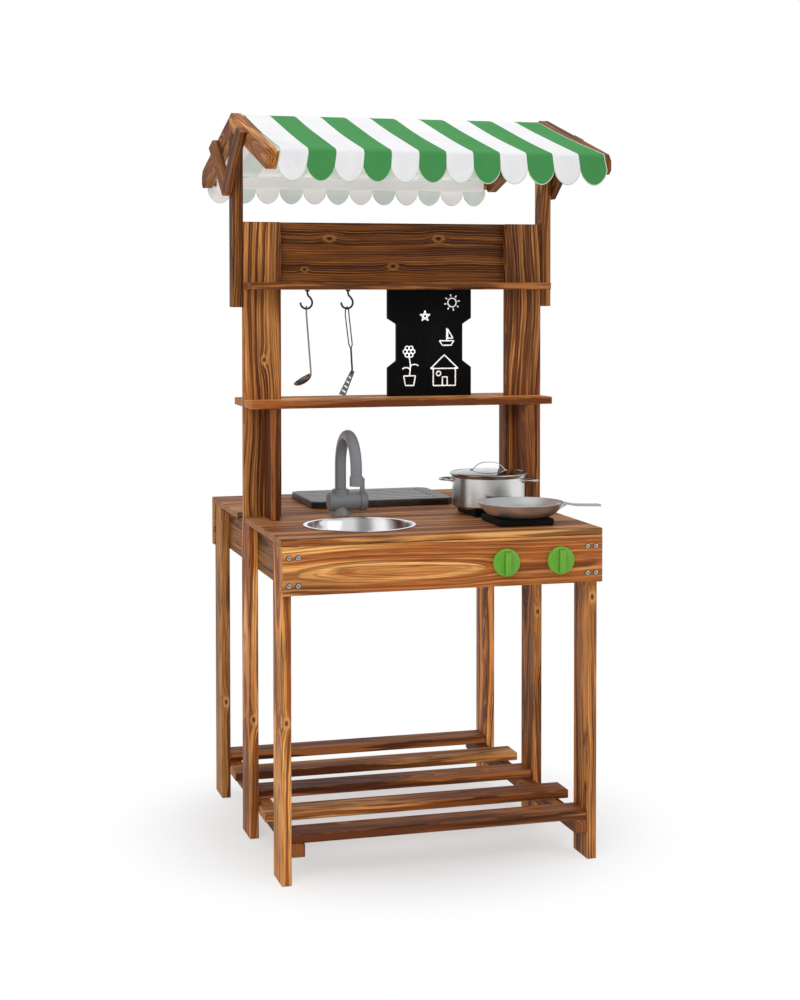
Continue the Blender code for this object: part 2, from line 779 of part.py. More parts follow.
def build_sink():
    """The drop-in steel bowl."""
    rim = TOP_HEIGHT + FIT
    inner = SINK_HOLE - SINK_CLEARANCE
    lip = inner + 2 * STEEL
    out = STEEL * 0.8
    down = STEEL * 0.4
    profile = [(0.0, STEEL - SINK_DEPTH)]
    profile += [(inner * share, STEEL - SINK_DEPTH * deep) for share, deep in SINK_WALL]
    profile += [(lip, STEEL), (SINK_RIM, STEEL), (SINK_RIM, 0.0), (lip, 0.0)]
    for share, deep in reversed(SINK_WALL):
        profile.append((inner * share + out, -SINK_DEPTH * deep - down))
    profile.append((0.0, -SINK_DEPTH - down))
    turned(
        "sink_bowl",
        profile,
        (SINK[0], at(SINK[1]), rim),
        STEEL_COLOUR,
        steps=48,
        roughness=0.25,
        metallic=1.0,
    )


def build_faucet_body(x, y):
    """The faucet's foot, cross barrel and collar in one piece."""
    foot = TOP_HEIGHT + FIT
    axis_rise = FAUCET_AXIS - foot
    body = turned(
        "faucet_body",
        [
            (0.0, axis_rise),
            (FAUCET_NECK_RADIUS, axis_rise),
            (FAUCET_NECK_RADIUS + 0.0005, 0.0100),
            (FAUCET_FOOT_RADIUS, 0.0035),
            (FAUCET_FOOT_RADIUS, 0.0),
            (0.0, 0.0),
        ],
        (x, y, foot),
        PLASTIC_GREY,
        steps=32,
    )
    length = FAUCET_BODY_ENDS[1] - FAUCET_BODY_ENDS[0]
    ease = 0.0020
    barrel_profile = rod_profile(FAUCET_BODY_RADIUS, 0.0, length)
    barrel_profile[2:3] = [(FAUCET_BODY_RADIUS, ease), (FAUCET_BODY_RADIUS - ease, 0.0)]
    barrel_place = (FAUCET_BODY_ENDS[0], y, FAUCET_AXIS)
    barrel = turned("faucet_barrel", barrel_profile, barrel_place, PLASTIC_GREY, axis="X", steps=32)
    combine(body, barrel)
    collar_profile = rod_profile(COLLAR_RADIUS, FAUCET_AXIS + FAUCET_BODY_RADIUS / 2, COLLAR_TOP)
    collar_profile[1:2] = [(COLLAR_RADIUS - EDGE, COLLAR_TOP), (COLLAR_RADIUS, COLLAR_TOP - EDGE)]
    combine(body, turned("faucet_collar", collar_profile, (x, y, 0.0), PLASTIC_GREY, steps=32))


def build_faucet_spout(x, y):
    """The gooseneck with the ring at its tip, turning in the collar."""
    start = COLLAR_TOP + FIT
    bend = SPOUT_REACH / 2
    far = y - SPOUT_REACH
    path = [(x, y, start), (x, y, (start + SPOUT_BEND) / 2), (x, y, SPOUT_BEND)]
    arch_steps = 14
    for step in range(1, arch_steps):
        angle = math.pi * step / arch_steps
        path.append((x, y - bend + bend * math.cos(angle), SPOUT_BEND + bend * math.sin(angle)))
    path.append((x, far, SPOUT_BEND))
    path.append((x, far, SPOUT_TIP + TIP_HEIGHT / 4))
    spout = wire("faucet_spout", path, SPOUT_RADIUS, PLASTIC_GREY, ring=5)
    ring_edge = TIP_RADIUS - 0.0009
    mouth = TIP_RADIUS * 0.75
    mouth_depth = 0.0040
    ring_profile = [
        (0.0, TIP_HEIGHT),
        (ring_edge, TIP_HEIGHT),
        (TIP_RADIUS, TIP_HEIGHT - 0.0012),
        (TIP_RADIUS, 0.0),
        (mouth, 0.0),
        (mouth, mouth_depth),
        (0.0, mouth_depth),
    ]
    combine(spout, turned("spout_ring", ring_profile, (x, far, SPOUT_TIP), PLASTIC_GREY, steps=32))
    move_origin(spout, (x, y, start))


def build_faucet_lever(y):
    """The cap at the end of the barrel with its upright paddle."""
    cap_start = FAUCET_BODY_ENDS[1] + FIT
    cap_radius, cap_length = LEVER_CAP
    ease = 0.0020
    profile = rod_profile(cap_radius, 0.0, cap_length)
    profile[1:2] = [(cap_radius - ease, cap_length), (cap_radius, cap_length - ease)]
    lever_place = (cap_start, y, FAUCET_AXIS)
    lever = turned("faucet_lever", profile, lever_place, PLASTIC_GREY, axis="X", steps=32)
    thick, wide, reach = LEVER_PADDLE
    paddle_x = cap_start + STEEL
    paddle_low = (paddle_x, y - wide / 2, FAUCET_AXIS + cap_radius / 2)
    paddle_high = (paddle_x + thick, y + wide / 2, FAUCET_AXIS + reach)
    paddle = place("lever_paddle", block_mesh("lever_paddle", paddle_low, paddle_high), PLASTIC_GREY)
    bevel(paddle, STEEL, 2)
    combine(lever, paddle)


def build_faucet():
    """Faucet body with collar, swivelling gooseneck and side lever."""
    x, depth = FAUCET
    y = at(depth)
    build_faucet_body(x, y)
    build_faucet_spout(x, y)
    build_faucet_lever(y)


def build_hob():
    """Two raised hob plates."""
    for name, front in zip(("hob_plate_front", "hob_plate_rear"), HOB_FRONTS):
        board(
            name,
            (HOB_LEFT, front, TOP_HEIGHT + FIT),
            (HOB_LEFT + HOB_SIZE[0], front + HOB_SIZE[1], TOP_HEIGHT + HOB_HEIGHT),
            BOARD_BLACK,
            HOB_EDGE,
        )


def build_pot():
    """Stew pot with two wire handles."""
    x, depth = POT
    foot = TOP_HEIGHT + HOB_HEIGHT + FIT
    height = POT_TOP - foot
    inner = POT_RADIUS - STEEL
    corner = 0.0050
    flare = 0.0058
    pot = turned(
        "pot",
        [
            (0.0, STEEL),
            (inner - corner, STEEL),
            (inner, STEEL + corner),
            (inner, height - 0.0040),
            (POT_RIM - STEEL, height),
            (POT_RIM, height - 0.0008),
            (POT_RADIUS, height - flare),
            (POT_RADIUS, corner),
            (POT_RADIUS - corner, 0.0),
            (0.0, 0.0),
        ],
        (x, at(depth), foot),
        STEEL_COLOUR,
        steps=48,
        roughness=0.25,
        metallic=1.0,
    )
    reach, half = POT_GRIP
    start = POT_RADIUS - POT_WIRE - EDGE
    stub = 0.0090
    lifted = 0.0020
    path = [(start, -half, 0.0)]
    for degrees in range(-90, 91, 30):
        angle = math.radians(degrees)
        out = start + stub + (reach - stub) * math.cos(angle)
        path.append((out, half * math.sin(angle), lifted))
    path.append((start, half, 0.0))
    lift = Matrix.Translation((x, at(depth), POT_TOP - POT_GRIP_DROP))
    for side_name, degrees in (("a", POT_TURN), ("b", POT_TURN + 180)):
        turn = Matrix.Rotation(math.radians(degrees), 4, "Z")
        points = [tuple(lift @ turn @ Vector(p)) for p in path]
        combine(pot, wire(f"pot_handle_{side_name}", points, POT_WIRE, STEEL_COLOUR, ring=2))


def build_lid():
    """The pot's lid with a locating lip under it and a strap handle on it."""
    x, depth = POT
    seat = POT_TOP + FIT
    lip = POT_RADIUS - STEEL - 0.0025
    dome = [(0.0, 0.0075), (0.030, 0.0067), (0.058, 0.0042), (0.068, 0.0024)]
    rim = [(LID_RADIUS, 0.0018), (LID_RADIUS, 0.0004)]
    flange = [(lip + 0.0010, 0.0004), (lip, -0.0030), (lip - 0.0015, -0.0030), (lip - 0.0025, 0.0004)]
    under = [(0.055, 0.0026), (0.030, 0.0049), (0.0, 0.0057)]
    lid = turned(
        "pot_lid",
        dome + rim + flange + under,
        (x, at(depth), seat),
        STEEL_COLOUR,
        steps=48,
        roughness=0.25,
        metallic=1.0,
    )
    outer = [(0.034, 0.0046), (0.030, 0.0085), (0.019, 0.0185), (0.010, 0.0215)]
    inner = [(0.0095, 0.0195), (0.0180, 0.0164), (0.025, 0.0055)]
    strap_outline = [(-reach, height) for reach, height in outer] + outer[::-1]
    strap_outline += inner[::-1] + [(-reach, height) for reach, height in inner]
    turn = Matrix.Rotation(math.radians(POT_TURN + STRAP_TURN), 4, "Z")
    matrix = Matrix.Translation((x, at(depth), seat)) @ turn
    combine(lid, slab_piece_at("lid_strap", strap_outline, STRAP_WIDTH, matrix))


def slab_piece_at(name, outline, width, matrix, aside=0.0):
    """A helper slab standing in its own XZ plane, placed by a matrix."""
    mesh = slab_mesh(name, outline, "Y", aside - width / 2, aside + width / 2)
    mesh.transform(matrix)
    return place(name, mesh, STEEL_COLOUR, (0, 0, 0), 0.3, 1.0)


def build_pan():
    """Frying pan with a strap handle on two prongs."""
    x, depth = PAN
    y = at(depth)
    foot = TOP_HEIGHT + HOB_HEIGHT + FIT
    rise = PAN_RIM - PAN_BASE
    skin = STEEL * 0.7
    wall = [(PAN_BASE + rise * out, PAN_HEIGHT * up) for out, up in PAN_WALL]
    profile = [(0.0, STEEL), (PAN_BASE - skin, STEEL)]
    profile += [(radius - skin, height + skin) for radius, height in wall]
    profile += [(PAN_RIM, PAN_HEIGHT), (PAN_RIM + skin, PAN_HEIGHT - skin)]
    profile += reversed(wall)
    profile += [(PAN_BASE, 0.0), (0.0, 0.0)]
    pan = turned("frying_pan", profile, (x, y, foot), STEEL_COLOUR, steps=56, roughness=0.25, metallic=1.0)
    turn = math.radians(PAN_TURN)
    matrix = Matrix.Translation((x, y, foot)) @ Matrix.Rotation(turn, 4, "Z")
    top = PAN_HEIGHT - 0.0050
    reach = PAN_RIM - 0.0048
    upper = [(0.0, 0.0), (0.012, 0.0020), (0.030, -0.0015), (PAN_HANDLE, -0.0035)]
    strap = [(reach + out, top + up) for out, up in upper]
    strap += [(reach + out, top + up - PAN_HANDLE_THICKNESS) for out, up in reversed(upper)]
    combine(pan, slab_piece_at("pan_handle", strap, PAN_HANDLE_WIDTH, matrix))
    prong_width = 0.0040
    aside = (PAN_HANDLE_WIDTH - prong_width) / 2
    prong = [
        (PAN_RIM - 0.0030, 0.0215),
        (PAN_RIM + 0.0085, 0.0195),
        (PAN_RIM - 0.0055, 0.0105),
        (PAN_RIM - 0.0105, 0.0085),
        (PAN_RIM - 0.0110, 0.0100),
        (PAN_RIM - 0.0060, 0.0165),
    ]
    for side_name, side in SIDES:
        combine(pan, slab_piece_at(f"pan_prong_{side_name}", prong, prong_width, matrix, side * aside))
    far = reach + PAN_HANDLE - PAN_HANDLE_WIDTH / 2
    hole_radius = 0.0032
    hole_place = (x + far * math.cos(turn), y + far * math.sin(turn), foot + top)
    profile = rod_profile(hole_radius, -2 * PAN_HANDLE_THICKNESS, 2 * PAN_HANDLE_THICKNESS)
    combine(pan, turned("pan_hole", profile, hole_place, STEEL_COLOUR, steps=20), "DIFFERENCE")


def build_knobs():
    """Two control knobs with a grip bar, turning on the front apron."""
    half, reach = GRIP
    rim = KNOB_THICKNESS - 0.0040
    profile = rod_profile(KNOB_RADIUS, 0.0, KNOB_THICKNESS)
    profile[1:2] = [
        (KNOB_RADIUS - 0.0030, KNOB_THICKNESS),
        (KNOB_RADIUS - 0.0008, KNOB_THICKNESS - 0.0015),
        (KNOB_RADIUS, rim),
    ]
    for name, x in zip(("knob_left", "knob_right"), KNOB_X):
        knob = turned(name, profile, (x, at(-FIT), KNOB_Z), KNOB_GREEN, axis="Y", steps=40)
        bar_low = (x - half, at(-reach), KNOB_Z - reach)
        bar_high = (x + half, at(-FIT - rim), KNOB_Z + reach)
        bar = place(name + "_grip", block_mesh(name + "_grip", bar_low, bar_high), KNOB_GREEN)
        bevel(bar, half / 2, 2)
        combine(knob, bar)


def build_hook(name, x):
    """One open screw hook with its collar, under the hook rail."""
    y = at(HOOK_Y)
    top = HOOK_RAIL_UNDER - FIT
    shank = x + HOOK_WIRE
    path = [
        (shank, y, top),
        (shank, y, top - 0.0067),
        (x + 0.0035, y, HOOK_CENTRE_Z + 0.0135),
        (x + 0.0080, y, HOOK_CENTRE_Z + 0.0090),
    ]
    for step in range(13):
        angle = math.radians(28 - 17.5 * step)
        along = HOOK_RADIUS * math.cos(angle)
        path.append((x + along, y, HOOK_CENTRE_Z + HOOK_RADIUS * math.sin(angle)))
    hook = wire(name, path, HOOK_WIRE, IRON_BLACK, ring=2, metallic=1.0)
    profile = [
        (0.0, 0.0),
        (HOOK_COLLAR - 0.0008, 0.0),
        (HOOK_COLLAR, -0.0008),
        (HOOK_COLLAR, -0.0014),
        (HOOK_WIRE, -0.0036),
        (0.0, -0.0036),
    ]
    combine(hook, turned(name + "_collar", profile, (shank, y, top), IRON_BLACK, steps=16))


def build_hooks():
    """The two screw hooks that hold the utensils."""
    for name, x in zip(("hook_left", "hook_right"), HOOK_X):
        build_hook(name, x)


def build_ladle():
    """Small dark ladle with a tilted shallow bowl, a strip handle and a round eye."""
    x = HOOK_X[0]
    y = at(HOOK_Y)
    thick, wide = LADLE_STRIP
    radius, depth = LADLE_BOWL
    eye_z = HOOK_SEAT_Z + HOOK_WIRE + FIT - EYE_RADIUS
    bowl_x = x + LADLE_BOWL_PLACE[0]
    bowl_z = HOOK_SEAT_Z + LADLE_BOWL_PLACE[1]
    tilt = math.radians(LADLE_TILT)
    rim_x = bowl_x + (radius - LADLE_SHELL / 2) * math.cos(tilt)
    rim_z = bowl_z + radius * math.sin(tilt)
    middle = [
        (x, eye_z + 2 * EYE_RADIUS),
        (x, eye_z - 3 * EYE_RADIUS),
        (rim_x, rim_z + EYE_RADIUS),
        (rim_x, rim_z - EYE_RADIUS),
    ]
    side = [(across + thick / 2, height) for across, height in middle]
    side += [(across - thick / 2, height) for across, height in reversed(middle)]
    ladle = slab("ladle", side, "Y", y - wide / 2, y + wide / 2, IRON_BLACK, 0.0)
    profile = rod_profile(EYE_RADIUS, -wide, wide)
    eye = turned("ladle_eye", profile, (x, y, eye_z), IRON_BLACK, axis="X", steps=20)
    combine(ladle, eye, "DIFFERENCE")
    angles = [math.radians(degrees) for degrees in range(0, 90, 18)]
    outer = [(radius * math.cos(angle), -depth * math.sin(angle)) for angle in angles]
    inner_radius = radius - LADLE_SHELL
    inner_depth = depth - LADLE_SHELL
    inner = [(inner_radius * math.cos(angle), -inner_depth * math.sin(angle)) for angle in angles]
    profile = [(0.0, -inner_depth), *reversed(inner), *outer, (0.0, -depth)]
    bowl = turned("ladle_bowl", profile, (bowl_x, y, bowl_z), IRON_BLACK, steps=28)
    bowl.rotation_euler = (0.0, -tilt, 0.0)
    combine(ladle, bowl)
    move_origin(ladle, (x, y, HOOK_SEAT_Z))


def build_blade(x, y):
    """The turner's leaning blade with slanted slots across it."""
    top = HOOK_SEAT_Z - BLADE_TOP
    low = top - BLADE_HEIGHT
    shoulder = top - 0.0045
    half_shape = [(0.0120, top), (0.0155, shoulder), (0.0250, low)]
    outline = [(y + half, height) for half, height in half_shape]
    outline += [(y - half, height) for half, height in reversed(half_shape)]
    start, end = BLADE_X
    mesh = slab_mesh("spatula_blade", outline, "X", -BLADE_THICKNESS / 2, BLADE_THICKNESS / 2)
    for vertex in mesh.vertices:
        vertex.co.x += x + start + (end - start) * (top - vertex.co.z) / BLADE_HEIGHT
    blade = place("spatula_blade", mesh, UTENSIL_STEEL, metallic=1.0)
    slot_half = 0.0014
    slant = 0.0015
    margin = 0.0055
    for number, share in enumerate((0.27, 0.46, 0.65, 0.84), start=1):
        height = top - share * BLADE_HEIGHT
        reach = 0.0155 + (0.0250 - 0.0155) * share - margin
        corners = [
            (y - reach, height - slant - slot_half),
            (y + reach, height + slant - slot_half),
            (y + reach, height + slant + slot_half),
            (y - reach, height - slant + slot_half),
        ]
        name = f"blade_slot_{number}"
        cutter = slab_mesh(name, corners, "X", x - BLADE_HEIGHT, x + BLADE_HEIGHT)
        combine(blade, place(name, cutter, UTENSIL_STEEL), "DIFFERENCE")
    return blade


def build_spatula():
    """Wire-handled slotted turner."""
    x = HOOK_X[1]
    y = at(HOOK_Y)
    top = HOOK_SEAT_Z + HOOK_WIRE + FIT + TURNER_WIRE
    neck = HOOK_SEAT_Z - TURNER_NECK
    kink = HOOK_SEAT_Z - TURNER_KINK
    neck_x = x + 0.0076
    kink_x = x + 0.0067
    kink_half = TURNER_LOOP - EDGE
    path = []
    for degrees in range(180, -1, -30):
        angle = math.radians(degrees)
        out = TURNER_LOOP * math.cos(angle)
        path.append((x, y + out, top - TURNER_LOOP + TURNER_LOOP * math.sin(angle)))
    path.append((kink_x, y + kink_half, kink))
    path.append((neck_x, y + TURNER_WIRE, neck))
    path.append((neck_x, y - TURNER_WIRE, neck))
    path.append((kink_x, y - kink_half, kink))
    loop = wire("spatula", path, TURNER_WIRE, UTENSIL_STEEL, closed=True, ring=2, metallic=1.0)
    stem_path = [
        (neck_x, y, neck + TURNER_STEM),
        (x + 0.0090, y, neck - 0.0240),
        (x + 0.0100, y, neck - 0.0390),
        (x + 0.0084, y, neck - 0.0500),
    ]
    combine(loop, wire("spatula_stem", stem_path, TURNER_STEM, UTENSIL_STEEL, ring=2, metallic=1.0))
    combine(loop, build_blade(x, y))
    move_origin(loop, (x, y, HOOK_SEAT_Z))


def build_tray():
    """Ribbed drain tray lying behind the faucet."""
    x0, x1, front, back = TRAY
    y0 = at(front)
    y1 = at(back)
    half_x = (x1 - x0) / 2
    half_y = (y1 - y0) / 2
    middle_x = x0 + half_x
    middle_y = y0 + half_y
    cut = TRAY_CORNER
    corner = [(half_x, half_y - cut), (half_x - cut, half_y)]
    half_shape = corner + [(-a, b) for a, b in reversed(corner)]
    shape = half_shape + [(-a, -b) for a, b in half_shape]
    outline = [(middle_x + a, middle_y + b) for a, b in shape]
    top = TOP_HEIGHT + TRAY_HEIGHT
    tray = slab("drain_tray", outline, "Z", TOP_HEIGHT + FIT, top, TRAY_GREY, STEEL)
    margin_x, margin_y = TRAY_MARGINS
    pitch = (y1 - y0 - 2 * margin_y) / len(TROUGH_STARTS)
    for start in TROUGH_STARTS:
        low_y = y0 + margin_y + (start + (1 - TROUGH_WIDTH) / 2) * pitch
        low = (x0 + margin_x, low_y, top - TROUGH_DEPTH)
        high = (x1 - margin_x, low_y + pitch * TROUGH_WIDTH, top + TROUGH_DEPTH)
        name = f"tray_trough_{start + 1}"
        combine(tray, place(name, block_mesh(name, low, high), TRAY_GREY), "DIFFERENCE")


def shade(piece):
    """Shade the round pieces smooth across their shallow edges."""
    piece.data.shade_smooth()
    piece.data.set_sharp_from_angle(angle=math.radians(35))


build_table()
build_uprights()
build_roof()
build_canopy()
build_chalkboard()
build_sink()
build_faucet()
build_hob()
build_pot()
build_lid()
build_pan()
build_knobs()
build_hooks()
build_ladle()
build_spatula()
build_tray()

ROUND_PIECES = (
    "sink_bowl",
    "faucet_body",
    "faucet_spout",
    "faucet_lever",
    "pot",
    "pot_lid",
    "frying_pan",
    "knob_left",
    "knob_right",
    "hook_left",
    "hook_right",
    "ladle",
    "spatula",
    "canopy",
)
for round_name in ROUND_PIECES:
    shade(bpy.data.objects[round_name])
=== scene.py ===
"""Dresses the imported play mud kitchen: carbonised fir boards, a striped cloth canopy,
kitchen ware of steel, glass and plastic, a chalkboard, soft studio light and a camera.
Lengths are in metres."""

from __future__ import annotations

import itertools
import logging
import math
import random
from dataclasses import dataclass, field
from enum import Enum
from typing import Callable, Iterable, Optional, Sequence, Union

import bmesh
import bpy
from mathutils import Matrix, Vector


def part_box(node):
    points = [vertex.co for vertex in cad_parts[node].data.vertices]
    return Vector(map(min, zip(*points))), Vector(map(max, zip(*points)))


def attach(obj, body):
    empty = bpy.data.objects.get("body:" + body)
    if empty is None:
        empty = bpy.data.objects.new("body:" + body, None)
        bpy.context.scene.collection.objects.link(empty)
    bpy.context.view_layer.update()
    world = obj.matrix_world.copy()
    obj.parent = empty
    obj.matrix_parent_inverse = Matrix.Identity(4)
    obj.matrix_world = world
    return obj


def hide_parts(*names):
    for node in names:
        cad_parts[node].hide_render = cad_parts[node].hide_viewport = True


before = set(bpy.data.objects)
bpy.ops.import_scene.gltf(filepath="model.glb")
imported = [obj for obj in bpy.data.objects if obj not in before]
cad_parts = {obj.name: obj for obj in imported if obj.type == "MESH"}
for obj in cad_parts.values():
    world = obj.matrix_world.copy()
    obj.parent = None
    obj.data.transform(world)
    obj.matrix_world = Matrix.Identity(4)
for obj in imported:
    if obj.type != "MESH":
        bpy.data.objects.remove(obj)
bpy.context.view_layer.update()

log = logging.getLogger("mud_kitchen")
logging.basicConfig(level=logging.INFO, format="%(message)s")

Colour = tuple[float, float, float]
Point = tuple[float, float, float]
Socket = bpy.types.NodeSocket
Value = Union[float, int, Sequence[float], Socket]
Stroke = list[tuple[float, float]]
ClothRow = tuple[float, float, float, float, float]
Ring = list[bmesh.types.BMVert]
Profile = tuple[tuple[float, float], ...]
Sockets = bpy.types.bpy_prop_collection

CRISP_ANGLE = math.radians(38.0)


def srgb(red: float, green: float, blue: float) -> Colour:
    """Gives the linear colour of a screen colour.

    Args:
        red: red from 0 to 255.
        green: green from 0 to 255.
        blue: blue from 0 to 255.

    Returns:
        The linear colour, each channel from 0 to 1.
    """

    def linear(channel: float) -> float:
        """Turns one screen channel into a linear one."""
        share = channel / 255
        return share / 12.92 if share <= 0.04045 else ((share + 0.055) / 1.055) ** 2.4

    return linear(red), linear(green), linear(blue)


class Graph:
    """Adds nodes to one node tree and links them."""

    def __init__(self, tree: bpy.types.NodeTree) -> None:
        """Keeps the tree that the nodes go into."""
        self.tree = tree

    def node(self, kind: str, **settings: object) -> bpy.types.Node:
        """Adds a node.

        Args:
            kind: the node's type name.
            settings: properties to set on it.

        Returns:
            The new node.
        """
        made = self.tree.nodes.new(kind)
        for name, value in settings.items():
            setattr(made, name, value)
        return made

    def put(self, socket: Socket, value: Value) -> None:
        """Links a socket to another one, or sets its own value."""
        if isinstance(value, bpy.types.NodeSocket):
            self.tree.links.new(value, socket)
        elif socket.type == "RGBA":
            socket.default_value = (*value[:3], 1.0)
        else:
            socket.default_value = value

    def math(self, operation: str, *values: Value) -> Socket:
        """Adds a math node.

        Args:
            operation: its operation.
            values: one to three numbers or sockets.

        Returns:
            The result's socket.
        """
        made = self.node("ShaderNodeMath", operation=operation)
        for socket, value in zip(made.inputs, values):
            self.put(socket, value)
        return made.outputs[0]

    def plus(self, first: Value, second: Value) -> Socket:
        """Adds two values."""
        return self.math("ADD", first, second)

    def minus(self, first: Value, second: Value) -> Socket:
        """Takes the second value from the first."""
        return self.math("SUBTRACT", first, second)

    def times(self, first: Value, second: Value) -> Socket:
        """Multiplies two values."""
        return self.math("MULTIPLY", first, second)

    def times_plus(self, first: Value, second: Value, added: Value) -> Socket:
        """Multiplies two values and adds a third."""
        return self.math("MULTIPLY_ADD", first, second, added)

    def diagonal(self, first: Value, second: Value) -> Socket:
        """Gives the length of the diagonal of two sides."""
        square = self.plus(self.times(first, first), self.times(second, second))
        return self.math("SQRT", square)

    def vector_math(self, operation: str, *values: Value) -> bpy.types.Node:
        """Adds a vector math node and gives the node, for its value or its vector."""
        made = self.node("ShaderNodeVectorMath", operation=operation)
        for socket, value in zip(made.inputs, values):
            self.put(socket, value)
        return made

    def parts(self, vector: Value) -> tuple[Socket, Socket, Socket]:
        """Splits a vector into its three numbers."""
        made = self.node("ShaderNodeSeparateXYZ")
        self.put(made.inputs[0], vector)
        return made.outputs[0], made.outputs[1], made.outputs[2]

    def joined(self, x: Value, y: Value, z: Value) -> Socket:
        """Joins three numbers into a vector."""
        made = self.node("ShaderNodeCombineXYZ")
        for socket, value in zip(made.inputs, (x, y, z)):
            self.put(socket, value)
        return made.outputs[0]

    def noise(
        self,
        vector: Value,
        scale: Value = 1.0,
        detail: float = 2.0,
        roughness: float = 0.5,
        output: str = "Fac",
    ) -> Socket:
        """Adds a noise texture.

        Args:
            vector: where it is read.
            scale: how many features fit in one unit.
            detail: how many finer layers it has.
            roughness: how strong these are.
            output: Fac for one number, Color for three.

        Returns:
            The noise's socket.
        """
        made = self.node("ShaderNodeTexNoise")
        self.put(made.inputs["Vector"], vector)
        self.put(made.inputs["Scale"], scale)
        made.inputs["Detail"].default_value = detail
        made.inputs["Roughness"].default_value = roughness
        return made.outputs[output]

    def smooth(self, value: Value, low: Value, high: Value, start: Value = 0.0, end: Value = 1.0) -> Socket:
        """Maps a value smoothly from one range to another, held at both ends.

        Args:
            value: the value to map.
            low: where the result is start.
            high: where the result is end.
            start: the result at low.
            end: the result at high.

        Returns:
            The mapped value's socket.
        """
        made = self.node("ShaderNodeMapRange", interpolation_type="SMOOTHSTEP")
        for name, entry in (
            ("Value", value), ("From Min", low), ("From Max", high), ("To Min", start), ("To Max", end),
        ):
            self.put(made.inputs[name], entry)
        return made.outputs["Result"]

    def fade(self, value: Value, low: Value, high: Value) -> Socket:
        """Maps a value smoothly to 1 at low and to 0 at high."""
        return self.smooth(value, low, high, 1.0, 0.0)

    def mix(self, share: Value, first: Value, second: Value, blend: str = "MIX") -> Socket:
        """Mixes two colours.

        Args:
            share: how much of the second one shows.
            first: the first colour.
            second: the second colour.
            blend: the blend type.

        Returns:
            The mixed colour's socket.
        """
        made = self.node("ShaderNodeMix", data_type="RGBA", blend_type=blend, clamp_factor=True)
        self.put(made.inputs["Factor"], share)
        self.put(made.inputs[6], first)
        self.put(made.inputs[7], second)
        return made.outputs[2]

    def shaded(self, colour: Value, shade: Value) -> Socket:
        """Multiplies all three channels of a colour by one number."""
        return self.mix(1.0, colour, self.joined(shade, shade, shade), "MULTIPLY")

    def use(self, group: bpy.types.NodeTree, **values: Value) -> bpy.types.Node:
        """Places a node group.

        Args:
            group: the group.
            values: its inputs, with underscores for the spaces in their names.

        Returns:
            The group's node.
        """
        made = self.node("ShaderNodeGroup", node_tree=group)
        for name, value in values.items():
            self.put(made.inputs[name.replace("_", " ")], value)
        return made


